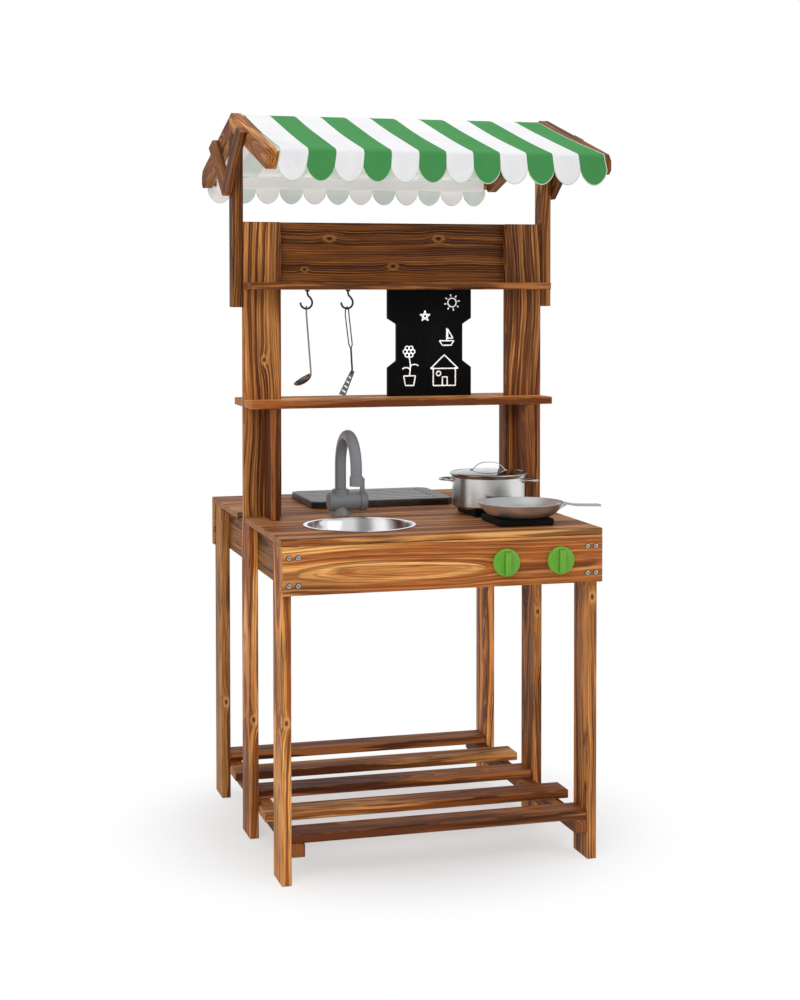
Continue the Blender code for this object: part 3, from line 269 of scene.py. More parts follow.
class Effect:
    """Shader node groups that more than one finish uses, each made once."""

    _made: dict[str, bpy.types.NodeTree] = {}

    @classmethod
    def _group(
        cls,
        name: str,
        inputs: dict[str, Value],
        fill: Callable[[Graph, dict[str, Socket]], dict[str, Socket]],
    ) -> bpy.types.NodeTree:
        """Makes a node group, or gives the one that was made before.

        Args:
            name: the group's name.
            inputs: the default of each input: three numbers for a vector, or one.
            fill: adds the nodes and gives the socket for each output.

        Returns:
            The node group.
        """
        if name in cls._made:
            return cls._made[name]
        tree = bpy.data.node_groups.new(name, "ShaderNodeTree")
        for label, default in inputs.items():
            kind = "Vector" if isinstance(default, tuple) else "Float"
            socket = tree.interface.new_socket(label, in_out="INPUT", socket_type=f"NodeSocket{kind}")
            socket.default_value = default
        graph = Graph(tree)
        entry = graph.node("NodeGroupInput")
        results = fill(graph, {label: entry.outputs[label] for label in inputs})
        for label, socket in results.items():
            kind = "Vector" if socket.type == "VECTOR" else "Float"
            tree.interface.new_socket(label, in_out="OUTPUT", socket_type=f"NodeSocket{kind}")
        leave = graph.node("NodeGroupOutput")
        for label, socket in results.items():
            tree.links.new(socket, leave.inputs[label])
        cls._made[name] = tree
        return tree

    @classmethod
    def board_place(cls) -> bpy.types.NodeTree:
        """Splits a glued panel into its planks: each gets its own place in the log."""

        def fill(graph: Graph, given: dict[str, Socket]) -> dict[str, Socket]:
            """Adds the nodes that number the planks and shift each one's grain."""
            along, across, depth = graph.parts(given["Vector"])
            share = graph.math("DIVIDE", across, given["Plank Width"])
            centred = graph.plus(share, given["Half Count"])
            number = graph.math("FLOOR", centred)
            inside = graph.minus(graph.math("FRACT", centred), 0.5)
            across_plank = graph.times(inside, given["Plank Width"])
            shifted = graph.times_plus(number, 0.83, along)
            edge = graph.times(graph.math("ABSOLUTE", inside), given["Plank Width"])
            half = graph.times(given["Plank Width"], 0.5)
            gap = graph.minus(half, edge)
            seam = graph.fade(gap, 0.0006, 0.0045)
            return {
                "Vector": graph.joined(shifted, across_plank, depth),
                "Number": number,
                "Seam": seam,
            }

        inputs = {"Vector": (0, 0, 0), "Plank Width": 0.1, "Half Count": 0.5}
        return cls._group("plank_places", inputs, fill)

    @classmethod
    def knot(cls) -> bpy.types.NodeTree:
        """A knot in a board: dark heart, pale collar, and rings that flow around it."""

        def fill(graph: Graph, given: dict[str, Socket]) -> dict[str, Socket]:
            """Adds the nodes that measure the way to the knot."""
            away = graph.vector_math("SUBTRACT", given["Vector"], given["Centre"])
            ripple = graph.noise(given["Vector"], 160.0, 1.0)
            flat = graph.vector_math("MULTIPLY", away.outputs["Vector"], given["Shape"])
            reach = graph.vector_math("LENGTH", flat.outputs["Vector"]).outputs["Value"]
            wave = graph.times_plus(ripple, 0.5, 0.75)
            share = graph.math("DIVIDE", graph.times(reach, wave), given["Radius"])
            heart = graph.fade(share, 0.35, 0.75)
            outside = graph.fade(share, 0.9, 1.7)
            collar = graph.times(outside, graph.smooth(share, 0.45, 0.85))
            square = graph.times(share, share)
            fall = graph.math("EXPONENT", graph.times(square, -0.16))
            push = graph.times(graph.times(fall, given["Radius"]), 0.9)
            return {"Heart": heart, "Collar": collar, "Push": push}

        inputs = {"Vector": (0, 0, 0), "Centre": (0, 0, 0), "Shape": (0.7, 1, 0), "Radius": 0.006}
        return cls._group("knot", inputs, fill)

    @classmethod
    def fir_grain(cls) -> bpy.types.NodeTree:
        """Growth rings of a fir log, cut by the board's faces: x runs along the grain."""

        def fill(graph: Graph, given: dict[str, Socket]) -> dict[str, Socket]:
            """Adds the nodes that measure rings around the wandering pith."""
            along, across, depth = graph.parts(given["Vector"])
            pith_along, pith_across, pith_depth = graph.parts(given["Pith"])
            seed = given["Seed"]

            def drawn_out(
                length: float, width: float, detail: float, roughness: float, shift: Value
            ) -> Socket:
                """Gives noise that is drawn out along the grain."""
                place = graph.joined(
                    graph.times(along, length),
                    graph.times_plus(across, width, shift),
                    graph.times(depth, width),
                )
                return graph.noise(place, 1.0, detail, roughness)

            wander_place = graph.joined(graph.times(along, 2.4), seed, 0.0)
            wander = graph.noise(wander_place, 1.0, 1.5, output="Color")
            wander_y, wander_z, _ = graph.parts(wander)
            from_centre = graph.minus(along, pith_along)
            bent = graph.math("MINIMUM", graph.times(from_centre, from_centre), 0.036)
            bow = graph.times(bent, given["Bow"])
            tilt = graph.times(from_centre, given["Slope"])
            y = graph.minus(across, pith_across)
            shift_y = graph.times_plus(wander_y, 0.05, -0.025)
            y = graph.times_plus(shift_y, given["Wander"], y)
            z = graph.minus(depth, pith_depth)
            shift_z = graph.times_plus(wander_z, 0.04, -0.02)
            z = graph.times_plus(shift_z, given["Wander"], z)
            z = graph.plus(graph.plus(z, bow), tilt)
            radius = graph.diagonal(y, z)
            ripple = drawn_out(7.0, 42.0, 3.0, 0.55, seed)
            rough_ring = graph.times_plus(ripple, 0.009, -0.0045)
            radius = graph.times_plus(rough_ring, graph.math("MINIMUM", given["Wander"], 1.0), radius)
            radius = graph.plus(radius, given["Push"])
            rings = graph.math("DIVIDE", radius, given["Ring Width"])
            years = graph.noise(graph.joined(graph.times(rings, 0.31), seed, 1.7), 1.0, 2.0)
            rings = graph.times_plus(years, 3.2, rings)
            ring = graph.math("FRACT", rings)
            band = graph.smooth(ring, 0.46, 0.90)
            band = graph.times(band, graph.fade(ring, 0.93, 1.0))
            line = graph.times(graph.smooth(ring, 0.0, 0.07), graph.fade(ring, 0.14, 0.30))
            zone_place = graph.joined(
                graph.times_plus(radius, given["Zones"], graph.times(seed, 7.0)),
                graph.times(along, 1.1),
                seed,
            )
            zone = graph.noise(zone_place, 1.0, 2.5, 0.55)
            fibre = drawn_out(14.0, 440.0, 3.0, 0.6, seed)
            streak = drawn_out(2.6, 58.0, 3.0, 0.6, graph.times(seed, 3.0))
            cloud = drawn_out(3.4, 11.0, 2.0, 0.5, graph.times(seed, 5.0))
            vein_place = graph.joined(
                graph.times(along, 2.2),
                graph.times_plus(radius, 210.0, graph.times(seed, 2.0)),
                graph.times(across, 9.0),
            )
            vein = graph.noise(vein_place, 1.0, 2.0, 0.6)
            vein = graph.math("ABSOLUTE", graph.minus(vein, 0.5))
            return {
                "Band": band, "Vein": graph.fade(vein, 0.0, 0.045), "Radius": radius,
                "Line": line, "Zone": zone, "Fibre": fibre, "Streak": streak, "Cloud": cloud,
            }

        inputs = {
            "Vector": (0, 0, 0), "Pith": (0, 0, 0.05), "Bow": 0.0, "Slope": 0.0, "Ring Width": 0.004,
            "Zones": 60.0, "Wander": 1.0, "Push": 0.0, "Seed": 0.0,
        }
        return cls._group("fir_grain", inputs, fill)

    @classmethod
    def edge_wear_and_light(cls) -> bpy.types.NodeTree:
        """Masks along a board's edges, from its half size: patches rubbed lighter, partly wear and partly a
        painted highlight, and a thin darker edge of char and painted shade.
        """

        def fill(graph: Graph, given: dict[str, Socket]) -> dict[str, Socket]:
            """Adds the nodes that measure the way to the nearest edge."""
            size = graph.vector_math("ABSOLUTE", given["Vector"]).outputs["Vector"]
            inside = graph.vector_math("SUBTRACT", given["Half Size"], size).outputs["Vector"]
            x, y, z = graph.parts(inside)
            low = graph.math("MINIMUM", x, y)
            high = graph.math("MAXIMUM", x, y)
            middle = graph.math("MAXIMUM", low, graph.math("MINIMUM", high, z))
            patch = graph.noise(given["Vector"], 16.0, 3.0)
            width = graph.times(given["Width"], graph.smooth(patch, 0.30, 0.72, 0.15, 1.9))
            # Rubbed patches along the edge: partly wear, partly a painted highlight.
            rubbed = graph.fade(middle, 0.0, width)
            rubbed = graph.times(rubbed, graph.smooth(patch, 0.44, 0.60))
            return {"Rubbed_and_highlight": rubbed, "Edge": graph.fade(middle, 0.0, given["Width"])}

        inputs = {"Vector": (0, 0, 0), "Half Size": (1, 1, 1), "Width": 0.003}
        return cls._group("edge_wear_and_light", inputs, fill)

    @classmethod
    def weave(cls) -> bpy.types.NodeTree:
        """A plain weave of fine threads, with slow waves in its shade."""

        def fill(graph: Graph, given: dict[str, Socket]) -> dict[str, Socket]:
            """Adds the nodes for warp, weft and shade."""
            x, y, z = graph.parts(given["Vector"])
            turn = graph.math("DIVIDE", math.tau, given["Thread"])
            warp = graph.math("SINE", graph.times(x, turn))
            weft = graph.math("SINE", graph.times(graph.plus(y, z), turn))
            cross = graph.times(warp, weft)
            shade = graph.noise(given["Vector"], 9.0, 2.0)
            slub = graph.noise(graph.joined(graph.times(x, 40.0), graph.times(y, 700.0), z), 1.0, 2.0)
            return {"Height": cross, "Shade": shade, "Slub": slub}

        return cls._group("weave", {"Vector": (0, 0, 0), "Thread": 0.0012}, fill)

    @classmethod
    def brushing(cls) -> bpy.types.NodeTree:
        """Fine lines of brushed metal that run around an upright axis."""

        def fill(graph: Graph, given: dict[str, Socket]) -> dict[str, Socket]:
            """Adds the nodes for lines that follow the turning."""
            x, y, z = graph.parts(given["Vector"])
            radius = graph.diagonal(x, y)
            place = graph.joined(graph.times(radius, 1500.0), graph.times(z, 1500.0), 0.0)
            lines = graph.noise(place, 1.0, 3.0, 0.7)
            return {"Lines": lines}

        return cls._group("brushing", {"Vector": (0, 0, 0)}, fill)

    @classmethod
    def dust(cls) -> bpy.types.NodeTree:
        """Faint settled dust and handling marks."""

        def fill(graph: Graph, given: dict[str, Socket]) -> dict[str, Socket]:
            """Adds the nodes for wide smudges broken up by fine specks."""
            wide = graph.noise(given["Vector"], given["Scale"], 3.0, 0.55)
            fine = graph.noise(given["Vector"], graph.times(given["Scale"], 22.0), 2.0)
            mask = graph.times(graph.smooth(wide, 0.42, 0.72), graph.smooth(fine, 0.3, 0.7))
            return {"Mask": mask, "Fine": fine}

        return cls._group("dust", {"Vector": (0, 0, 0), "Scale": 14.0}, fill)


class Surface:
    """One material under construction: its graph, its shader and its place on the object."""

    def __init__(self, name: str) -> None:
        """Starts a material with a plain shader."""
        self.material = bpy.data.materials.new(name)
        self.material.use_nodes = True
        tree = self.material.node_tree
        tree.nodes.clear()
        self.graph = Graph(tree)
        self.shader = self.graph.node("ShaderNodeBsdfPrincipled")
        self.output = self.graph.node("ShaderNodeOutputMaterial")
        tree.links.new(self.shader.outputs[0], self.output.inputs["Surface"])
        self.place = self.graph.node("ShaderNodeTexCoord").outputs["Object"]

    def set(self, **values: Value) -> None:
        """Sets or links the shader's sockets, with underscores for spaces."""
        for name, value in values.items():
            self.graph.put(self.shader.inputs[name.replace("_", " ")], value)

    def bump(self, height: Value, strength: float, distance: float) -> None:
        """Feeds the shader's normal from a height.

        Args:
            height: the height socket, from 0 to 1.
            strength: the bump's strength.
            distance: the height in metres that 1 stands for.
        """
        made = self.graph.node("ShaderNodeBump")
        made.inputs["Strength"].default_value = strength
        made.inputs["Distance"].default_value = distance
        self.graph.put(made.inputs["Height"], height)
        self.graph.put(self.shader.inputs["Normal"], made.outputs[0])

    def dust(self, scale: float) -> bpy.types.Node:
        """Places the shared dust and handling marks on the object."""
        return self.graph.use(Effect.dust(), Vector=self.place, Scale=scale)

    def seen_from(self, centre: Point) -> Socket:
        """Gives the place on the object measured from a point."""
        return self.graph.vector_math("SUBTRACT", self.place, centre).outputs["Vector"]


@dataclass(frozen=True)
class Stain:
    """Colours of one carbonised and oiled board.

    Args:
        pale: where the flame hardly reached.
        brown: the broad bands that it browned.
        late: the hard lines of the rings.
        char: the darkest scorched patches, also the colour of painted shadow along edges.
        line: the rubbed edges, partly a painted highlight, and the palest lines.
        late_strength: how much the ring lines show.
        line_strength: how much the palest lines show.
        char_strength: how much the scorched patches show.
        zone_range: where the broad bands start and are full.
    """

    pale: Colour
    brown: Colour
    late: Colour
    char: Colour
    line: Colour
    late_strength: float = 0.55
    line_strength: float = 0.1
    char_strength: float = 0.5
    zone_range: tuple[float, float] = (0.40, 0.60)


class Tone(Enum):
    """How strongly a board was charred."""

    GOLDEN = Stain(
        srgb(240, 176, 102), srgb(168, 94, 42), srgb(88, 44, 20), srgb(66, 33, 16), srgb(252, 208, 142),
        late_strength=0.80, line_strength=0.25, char_strength=0.50, zone_range=(0.45, 0.57),
    )
    AMBER = Stain(
        srgb(234, 164, 92), srgb(140, 76, 34), srgb(78, 39, 18), srgb(56, 28, 14), srgb(250, 196, 126),
        late_strength=0.75, line_strength=0.30, char_strength=0.55, zone_range=(0.45, 0.55),
    )
    RUSSET = Stain(
        srgb(188, 116, 62), srgb(104, 54, 25), srgb(60, 31, 15), srgb(42, 21, 11), srgb(222, 156, 92),
        late_strength=0.72, line_strength=0.30, char_strength=0.55, zone_range=(0.45, 0.55),
    )
    STRIPED = Stain(
        srgb(214, 142, 78), srgb(112, 60, 28), srgb(58, 29, 14), srgb(42, 21, 11), srgb(240, 178, 110),
        late_strength=0.75, line_strength=0.50, char_strength=0.50, zone_range=(0.47, 0.54),
    )
    WORKTOP = Stain(
        srgb(214, 150, 94), srgb(132, 78, 42), srgb(76, 42, 24), srgb(56, 30, 18), srgb(232, 174, 118),
        late_strength=0.60, line_strength=0.15, char_strength=0.50, zone_range=(0.44, 0.58),
    )
    PANEL = Stain(
        srgb(146, 84, 36), srgb(86, 44, 19), srgb(40, 20, 10), srgb(30, 15, 8), srgb(206, 140, 76),
        late_strength=0.55, line_strength=0.85, char_strength=0.55, zone_range=(0.45, 0.56),
    )


class Grain(Enum):
    """How a board lies: the direction of its grain, then that of its width."""

    LEVEL = ((1, 0, 0), (0, 1, 0))
    FACING = ((1, 0, 0), (0, 0, 1))
    SIDE = ((0, 1, 0), (0, 0, 1))
    UPRIGHT = ((0, 0, 1), (1, 0, 0))
    POST = ((0, 0, 1), (0, 1, 0))


@dataclass(frozen=True)
class Knot:
    """One knot, placed by a point of the object.

    Args:
        at: the knot's centre in metres.
        radius: the radius of its dark heart and collar.
        through: the board's own axis that it runs along: 1 for the width, 2 for the thickness.
    """

    at: Point
    radius: float = 0.006
    through: int = 2


@dataclass(frozen=True)
class Board:
    """One fir board: the node that it dresses and the log that it was cut from.

    Args:
        node: the CAD node.
        tone: how strongly it was charred.
        grain: how it lies.
        lean: its slope from level in radians, for a board that leans in the side view.
        half_size: half its own length, width and thickness where it leans.
        ring: the width of one growth ring in metres.
        pith: the log's centre line in the board's own frame, or chosen by chance.
        bow: how much the log curves.
        slope: how much the grain runs out of the board.
        zones: how fast its broad bands change.
        wander: how much the pith wanders.
        oval: the radii of a brown core and of the pale band around it, if they show.
        shade: brightens or darkens the whole board.
        veins: how much its fine dark veins show.
        edge: the tone of its narrow faces, if they are drawn apart.
        knots: its knots.
        planks: how many planks it is glued from.
    """

    node: str
    tone: Tone
    grain: Grain = Grain.LEVEL
    lean: Optional[float] = None
    half_size: Optional[Point] = None
    ring: float = 0.0042
    pith: Optional[Point] = None
    bow: float = 0.0
    slope: float = 0.05
    zones: float = 60.0
    wander: float = 1.0
    oval: Optional[tuple[float, float]] = None
    shade: float = 1.0
    veins: float = 0.45
    edge: Optional[Tone] = None
    knots: tuple[Knot, ...] = ()
    planks: int = 1

    def _random(self) -> random.Random:
        """Gives the board's own repeatable source of chance."""
        return random.Random(sum(ord(letter) * (place + 3) for place, letter in enumerate(self.node)))

    def _turn(self) -> Matrix:
        """Gives the turn whose first column runs along the grain."""
        if self.lean is not None:
            along = Vector((0, math.cos(self.lean), math.sin(self.lean)))
            across = Vector((0, -math.sin(self.lean), math.cos(self.lean)))
        else:
            along, across = (Vector(axis) for axis in self.grain.value)
        depth = along.cross(across)
        return Matrix((along, across, depth)).transposed()

    def _local_half(self, turn: Matrix) -> Vector:
        """Gives half the board's size along its own axes."""
        if self.half_size is not None:
            return Vector(self.half_size)
        low, high = (Vector(corner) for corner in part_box(self.node))
        half = (high - low) / 2
        return Vector([abs(value) for value in turn.transposed() @ half])

    def _pith(self, half: Vector, chance: random.Random) -> Point:
        """Gives the log's centre line in the board's own frame."""
        if self.pith is not None:
            return self.pith
        along = chance.uniform(-0.5, 0.5) * half.x
        return (along, chance.uniform(-0.7, 0.7) * half.y, -half.z - chance.uniform(0.018, 0.045))

    def _knot_marks(
        self, graph: Graph, local: Socket, turn: Matrix, centre: Vector
    ) -> tuple[Value, Value, Value]:
        """Adds the board's knots to its graph.

        Args:
            graph: the material's graph.
            local: the place in the board's own frame.
            turn: the board's turn.
            centre: the board's centre.

        Returns:
            The knots' heart, their collar, and how far they push the rings.
        """
        heart: Value = 0.0
        collar: Value = 0.0
        push: Value = 0.0
        for knot in self.knots:
            middle = turn.transposed() @ (Vector(knot.at) - centre)
            shape = [0.62, 1.0, 1.0]
            shape[knot.through] = 0.0
            made = graph.use(
                Effect.knot(), Vector=local, Centre=tuple(middle), Shape=tuple(shape), Radius=knot.radius
            )
            heart = graph.math("MAXIMUM", heart, made.outputs["Heart"])
            collar = graph.math("MAXIMUM", collar, made.outputs["Collar"])
            push = graph.plus(push, made.outputs["Push"])
        return heart, collar, push

    @staticmethod
    def _facing(graph: Graph, axis: Vector) -> Socket:
        """Tells where the board's faces look along an axis."""
        normal = graph.node("ShaderNodeTexCoord").outputs["Normal"]
        toward = graph.vector_math("DOT_PRODUCT", normal, tuple(axis)).outputs["Value"]
        return graph.smooth(graph.math("ABSOLUTE", toward), 0.6, 0.9)

    def _bands(self, graph: Graph, grain: Sockets) -> tuple[Socket, Socket]:
        """Adds the broad bands and the late wood of the rings.

        Args:
            graph: the material's graph.
            grain: the outputs of the grain effect.

        Returns:
            How brown the wood is, and how much of the late wood shows.
        """
        stain = self.tone.value
        zone = graph.smooth(grain["Zone"], *stain.zone_range)
        late = graph.times(grain["Band"], stain.late_strength)
        late = graph.times(late, graph.smooth(grain["Cloud"], 0.30, 0.62, 1.0, 0.35))
        if self.oval is not None:
            core, rim = self.oval
            inside = graph.fade(grain["Radius"], rim, rim + 0.0008)
            heartwood = graph.smooth(grain["Radius"], core, core + 0.0030, 0.65, 0.0)
            zone = graph.plus(zone, graph.times(inside, graph.minus(heartwood, zone)))
            late = graph.times(late, graph.times_plus(inside, -0.75, 1.0))
        return zone, late

    def _face_colour(
        self, graph: Graph, grain: Sockets, zone: Socket, late: Socket, char: Socket
    ) -> Socket:
        """Adds the colour of the broad faces.

        Args:
            graph: the material's graph.
            grain: the outputs of the grain effect.
            zone: how brown the wood is.
            late: how much of the late wood shows.
            char: how much it is scorched.

        Returns:
            The colour's socket.
        """
        stain = self.tone.value
        colour = graph.mix(zone, stain.pale, stain.brown)
        colour = graph.mix(late, colour, stain.late)
        colour = graph.mix(graph.times(grain["Vein"], self.veins), colour, stain.late)
        streak = graph.smooth(grain["Streak"], 0.40, 0.66)
        colour = graph.mix(graph.times(streak, 0.40), colour, stain.brown)
        colour = graph.mix(char, colour, stain.char)
        line = graph.times(grain["Line"], stain.line_strength)
        line = graph.times(line, graph.smooth(grain["Streak"], 0.30, 0.62, 1.0, 0.25))
        colour = graph.mix(line, colour, stain.line)
        fibre = graph.smooth(grain["Fibre"], 0.32, 0.68, 0.72 * self.shade, 1.18 * self.shade)
        return graph.shaded(colour, fibre)

    def _side_colour(
        self, graph: Graph, grain: Sockets, zone: Socket, local: Socket, half: Vector
    ) -> Socket:
        """Adds the colour of the narrow faces, with a painted shadow along their lower edge.

        Args:
            graph: the material's graph.
            grain: the outputs of the grain effect.
            zone: how brown the wood is.
            local: the place in the board's own frame.
            half: half the board's size.

        Returns:
            The colour's socket.
        """
        shadow_start, shadow_end = 0.0006, 0.0022
        stain = self.edge.value
        colour = graph.mix(zone, stain.pale, stain.brown)
        wavy = graph.smooth(grain["Streak"], 0.47, 0.57)
        colour = graph.mix(graph.times(wavy, 0.8), colour, stain.late)
        # Painted shadow: the narrow face darkens toward the char colour along its lower edge, where it meets
        # the board below.
        _, _, deep = graph.parts(local)
        under = graph.smooth(deep, shadow_start - half.z, shadow_end - half.z, 0.85, 0.0)
        return graph.mix(under, colour, stain.char)

    def finish(self) -> bpy.types.Material:
        """Builds the board's own material.

        Returns:
            The material, with rings, knots, charring, and worn edges that also carry painted highlight and
            painted shade.
        """
        chance = self._random()
        turn = self._turn()
        half = self._local_half(turn)
        low, high = (Vector(corner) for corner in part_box(self.node))
        centre = (low + high) / 2
        surface = Surface(f"fir_{self.node}")
        graph = surface.graph
        mapping = graph.node("ShaderNodeMapping", vector_type="TEXTURE")
        graph.put(mapping.inputs["Vector"], surface.place)
        mapping.inputs["Location"].default_value = centre
        mapping.inputs["Rotation"].default_value = turn.to_euler()
        local = mapping.outputs[0]
        seed: Value = chance.uniform(0, 40)
        place: Socket = local
        seam: Optional[Socket] = None
        if self.planks > 1:
            width = 2 * half.y / self.planks
            planks = graph.use(
                Effect.board_place(), Vector=local, Plank_Width=width, Half_Count=self.planks / 2
            )
            place = planks.outputs["Vector"]
            seam = planks.outputs["Seam"]
            seed = graph.times_plus(planks.outputs["Number"], 5.37, seed)
        heart, collar, push = self._knot_marks(graph, local, turn, centre)
        grain = graph.use(
            Effect.fir_grain(), Vector=place, Pith=self._pith(half, chance), Bow=self.bow,
            Slope=self.slope * chance.choice((-1, 1)), Ring_Width=self.ring, Zones=self.zones,
            Wander=self.wander, Push=push, Seed=seed,
        ).outputs
        stain = self.tone.value
        zone, late = self._bands(graph, grain)
        char = graph.times(graph.smooth(grain["Cloud"], 0.52, 0.72), stain.char_strength)
        colour = self._face_colour(graph, grain, zone, late, char)
        if self.knots:
            colour = graph.mix(graph.times(collar, 0.45), colour, stain.line)
            colour = graph.mix(graph.times(heart, 0.70), colour, stain.late)
        if seam is not None:
            colour = graph.mix(graph.times(seam, 0.72), colour, stain.char)
        end_colour = graph.mix(grain["Band"], stain.pale, stain.late)
        end_colour = graph.mix(0.5, end_colour, stain.brown)
        colour = graph.mix(graph.times(self._facing(graph, turn.col[0]), 0.8), colour, end_colour)
        if self.edge is not None:
            side_colour = self._side_colour(graph, grain, zone, local, half)
            colour = graph.mix(self._facing(graph, turn.col[1]), colour, side_colour)
        wear = graph.use(Effect.edge_wear_and_light(), Vector=local, Half_Size=tuple(half), Width=0.0022)
        # Painted light on the edges: a thin darker line, partly char and partly painted shade, then lighter
        # rubbed patches, partly wear and partly a painted highlight.
        colour = graph.mix(graph.times(wear.outputs["Edge"], 0.35), colour, stain.char)
        colour = graph.mix(graph.times(wear.outputs["Rubbed_and_highlight"], 0.40), colour, stain.pale)
        rough = graph.times_plus(grain["Fibre"], 0.16, 0.50)
        rough = graph.times_plus(char, 0.12, rough)
        surface.set(Base_Color=colour, Roughness=rough, Specular_IOR_Level=0.15)
        height = graph.times_plus(grain["Fibre"], 0.45, graph.times(grain["Band"], 0.55))
        surface.bump(height, 0.35, 0.0005)
        return surface.material

    def dress(self) -> None:
        """Gives the board's node its finish."""
        dress_node(self.node, self.finish())


@dataclass(frozen=True)
class BrushedSteel:
    """Brushed stainless steel, its lines running around an upright axis.

    Args:
        name: the material's name.
        centre: a point on the axis.
        colour: the steel's colour.
        roughness: its roughness.
        anisotropic: how far its gloss is drawn out.
        metallic: how much it is a metal.
        darker_beyond: the place along x where it turns darker, if it does.
        glints: how many painted bright and dark reflection stripes run around it.
        glint_depth: how dark the painted dark stripes are.
        glint_turn: where they start, in radians.
    """

    name: str
    centre: Point
    colour: Colour = srgb(206, 205, 203)
    roughness: float = 0.24
    anisotropic: float = 0.45
    metallic: float = 1.0
    darker_beyond: Optional[float] = None
    glints: int = 0
    glint_depth: float = 0.5
    glint_turn: float = 0.0

    def finish(self) -> bpy.types.Material:
        """Builds the material."""
        surface = Surface(self.name)
        graph = surface.graph
        seen = surface.seen_from(self.centre)
        lines = graph.use(Effect.brushing(), Vector=seen)
        marks = surface.dust(24.0)
        shade = graph.smooth(lines.outputs["Lines"], 0.25, 0.75, 0.95, 1.0)
        # Painted reflections: bright and dark stripes around the axis are multiplied into the colour,
        # standing in for the surroundings mirrored in the steel.
        if self.glints:
            along, across, _ = graph.parts(seen)
            around = graph.times_plus(graph.math("ARCTAN2", across, along), self.glints, self.glint_turn)
            painted_glint = graph.smooth(graph.math("SINE", around), -0.9, 0.9, 1.0 - self.glint_depth, 1.0)
            shade = graph.times(shade, painted_glint)
        colour = graph.shaded(self.colour, shade)
        if self.darker_beyond is not None:
            x, _, _ = graph.parts(surface.place)
            blur = 0.004
            handle = graph.smooth(x, self.darker_beyond - blur, self.darker_beyond + blur, 0.0, 0.62)
            colour = graph.mix(handle, colour, srgb(96, 96, 98))
        rough = graph.times_plus(lines.outputs["Lines"], 0.06, self.roughness - 0.03)
        rough = graph.times_plus(marks.outputs["Mask"], 0.04, rough)
        surface.set(Base_Color=colour, Roughness=rough, Metallic=self.metallic, Anisotropic=self.anisotropic)
        tangent = graph.node("ShaderNodeTangent", direction_type="RADIAL", axis="Z")
        surface.set(Tangent=tangent.outputs[0])
        surface.bump(lines.outputs["Lines"], 0.04, 0.0001)
        return surface.material


@dataclass(frozen=True)
class Enamel:
    """Moulded plastic or lacquer in one colour, with faint moulding texture and marks."""

    name: str
    colour: Colour
    roughness: float = 0.4
    texture: float = 0.0001
    metallic: float = 0.0
    coat: float = 0.0
    specular: float = 0.5

    def finish(self) -> bpy.types.Material:
        """Builds the material."""
        surface = Surface(self.name)
        graph = surface.graph
        marks = surface.dust(20.0)
        pores = graph.noise(surface.place, 1400.0, 2.0, 0.6)
        shade = graph.smooth(pores, 0.3, 0.7, 0.94, 1.04)
        colour = graph.shaded(self.colour, shade)
        lighter = tuple(min(1.0, channel * 1.25 + 0.02) for channel in self.colour)
        colour = graph.mix(graph.times(marks.outputs["Mask"], 0.25), colour, lighter)
        rough = graph.times_plus(marks.outputs["Mask"], 0.12, self.roughness)
        rough = graph.times_plus(pores, 0.06, rough)
        surface.set(Base_Color=colour, Roughness=rough, Metallic=self.metallic)
        surface.set(Specular_IOR_Level=self.specular)
        if self.coat:
            surface.set(Coat_Weight=self.coat, Coat_Roughness=0.2)
        surface.bump(pores, 0.2, self.texture)
        return surface.material


@dataclass(frozen=True)
class Cloth:
    """Woven polyester of the canopy, printed outside and pale inside, with an optional painted glow that
    stands in for light shining through it.
    """

    name: str
    colour: Colour
    thread: float = 0.0011
    roughness: float = 0.80
    glow: float = 0.0

    def finish(self) -> bpy.types.Material:
        """Builds the material."""
        surface = Surface(self.name)
        graph = surface.graph
        weave = graph.use(Effect.weave(), Vector=surface.place, Thread=self.thread)
        shade = graph.times_plus(weave.outputs["Height"], 0.030, 0.970)
        shade = graph.times(shade, graph.smooth(weave.outputs["Shade"], 0.3, 0.7, 0.96, 1.02))
        shade = graph.times(shade, graph.smooth(weave.outputs["Slub"], 0.3, 0.7, 0.97, 1.02))
        colour = graph.shaded(self.colour, shade)
        rough = graph.times_plus(weave.outputs["Slub"], 0.12, self.roughness - 0.06)
        surface.set(Base_Color=colour, Roughness=rough, Specular_IOR_Level=0.12)
        # Painted light: the face glows in its own colour, standing in for daylight shining through the thin
        # cloth.
        if self.glow:
            surface.set(Emission_Color=colour, Emission_Strength=self.glow)
        surface.bump(weave.outputs["Height"], 0.25, 0.0002)
        return surface.material


@dataclass(frozen=True)
class LidGlass:
    """Clear pressed glass of the pot lid."""

    name: str = "lid_glass"

    def finish(self) -> bpy.types.Material:
        """Builds the material."""
        surface = Surface(self.name)
        graph = surface.graph
        marks = surface.dust(30.0)
        rough = graph.times_plus(marks.outputs["Mask"], 0.10, 0.03)
        surface.set(Base_Color=(0.76, 0.79, 0.79), Roughness=rough, Metallic=0.0)
        surface.set(Transmission_Weight=1.0, IOR=1.48)
        return surface.material


@dataclass(frozen=True)
class BoardPaint:
    """Matt black chalkboard paint with wiped chalk dust."""

    name: str = "chalkboard_paint"
    colour: Colour = srgb(4, 4, 5)
    dust_colour: Colour = srgb(92, 94, 94)
    wipes: Point = (30.0, 30.0, 9.0)

    def finish(self) -> bpy.types.Material:
        """Builds the material."""
        surface = Surface(self.name)
        graph = surface.graph
        marks = surface.dust(11.0)
        wiped_place = graph.vector_math("MULTIPLY", surface.place, self.wipes).outputs["Vector"]
        wiped = graph.noise(wiped_place, 1.0, 3.0)
        smear = graph.times(graph.smooth(wiped, 0.45, 0.75), marks.outputs["Mask"])
        colour = graph.mix(graph.times(smear, 0.10), self.colour, self.dust_colour)
        grit = graph.noise(surface.place, 1700.0, 2.0)
        surface.set(Base_Color=colour, Roughness=graph.times_plus(grit, 0.1, 0.62))
        surface.set(Specular_IOR_Level=0.10)
        surface.bump(grit, 0.25, 0.00015)
        return surface.material


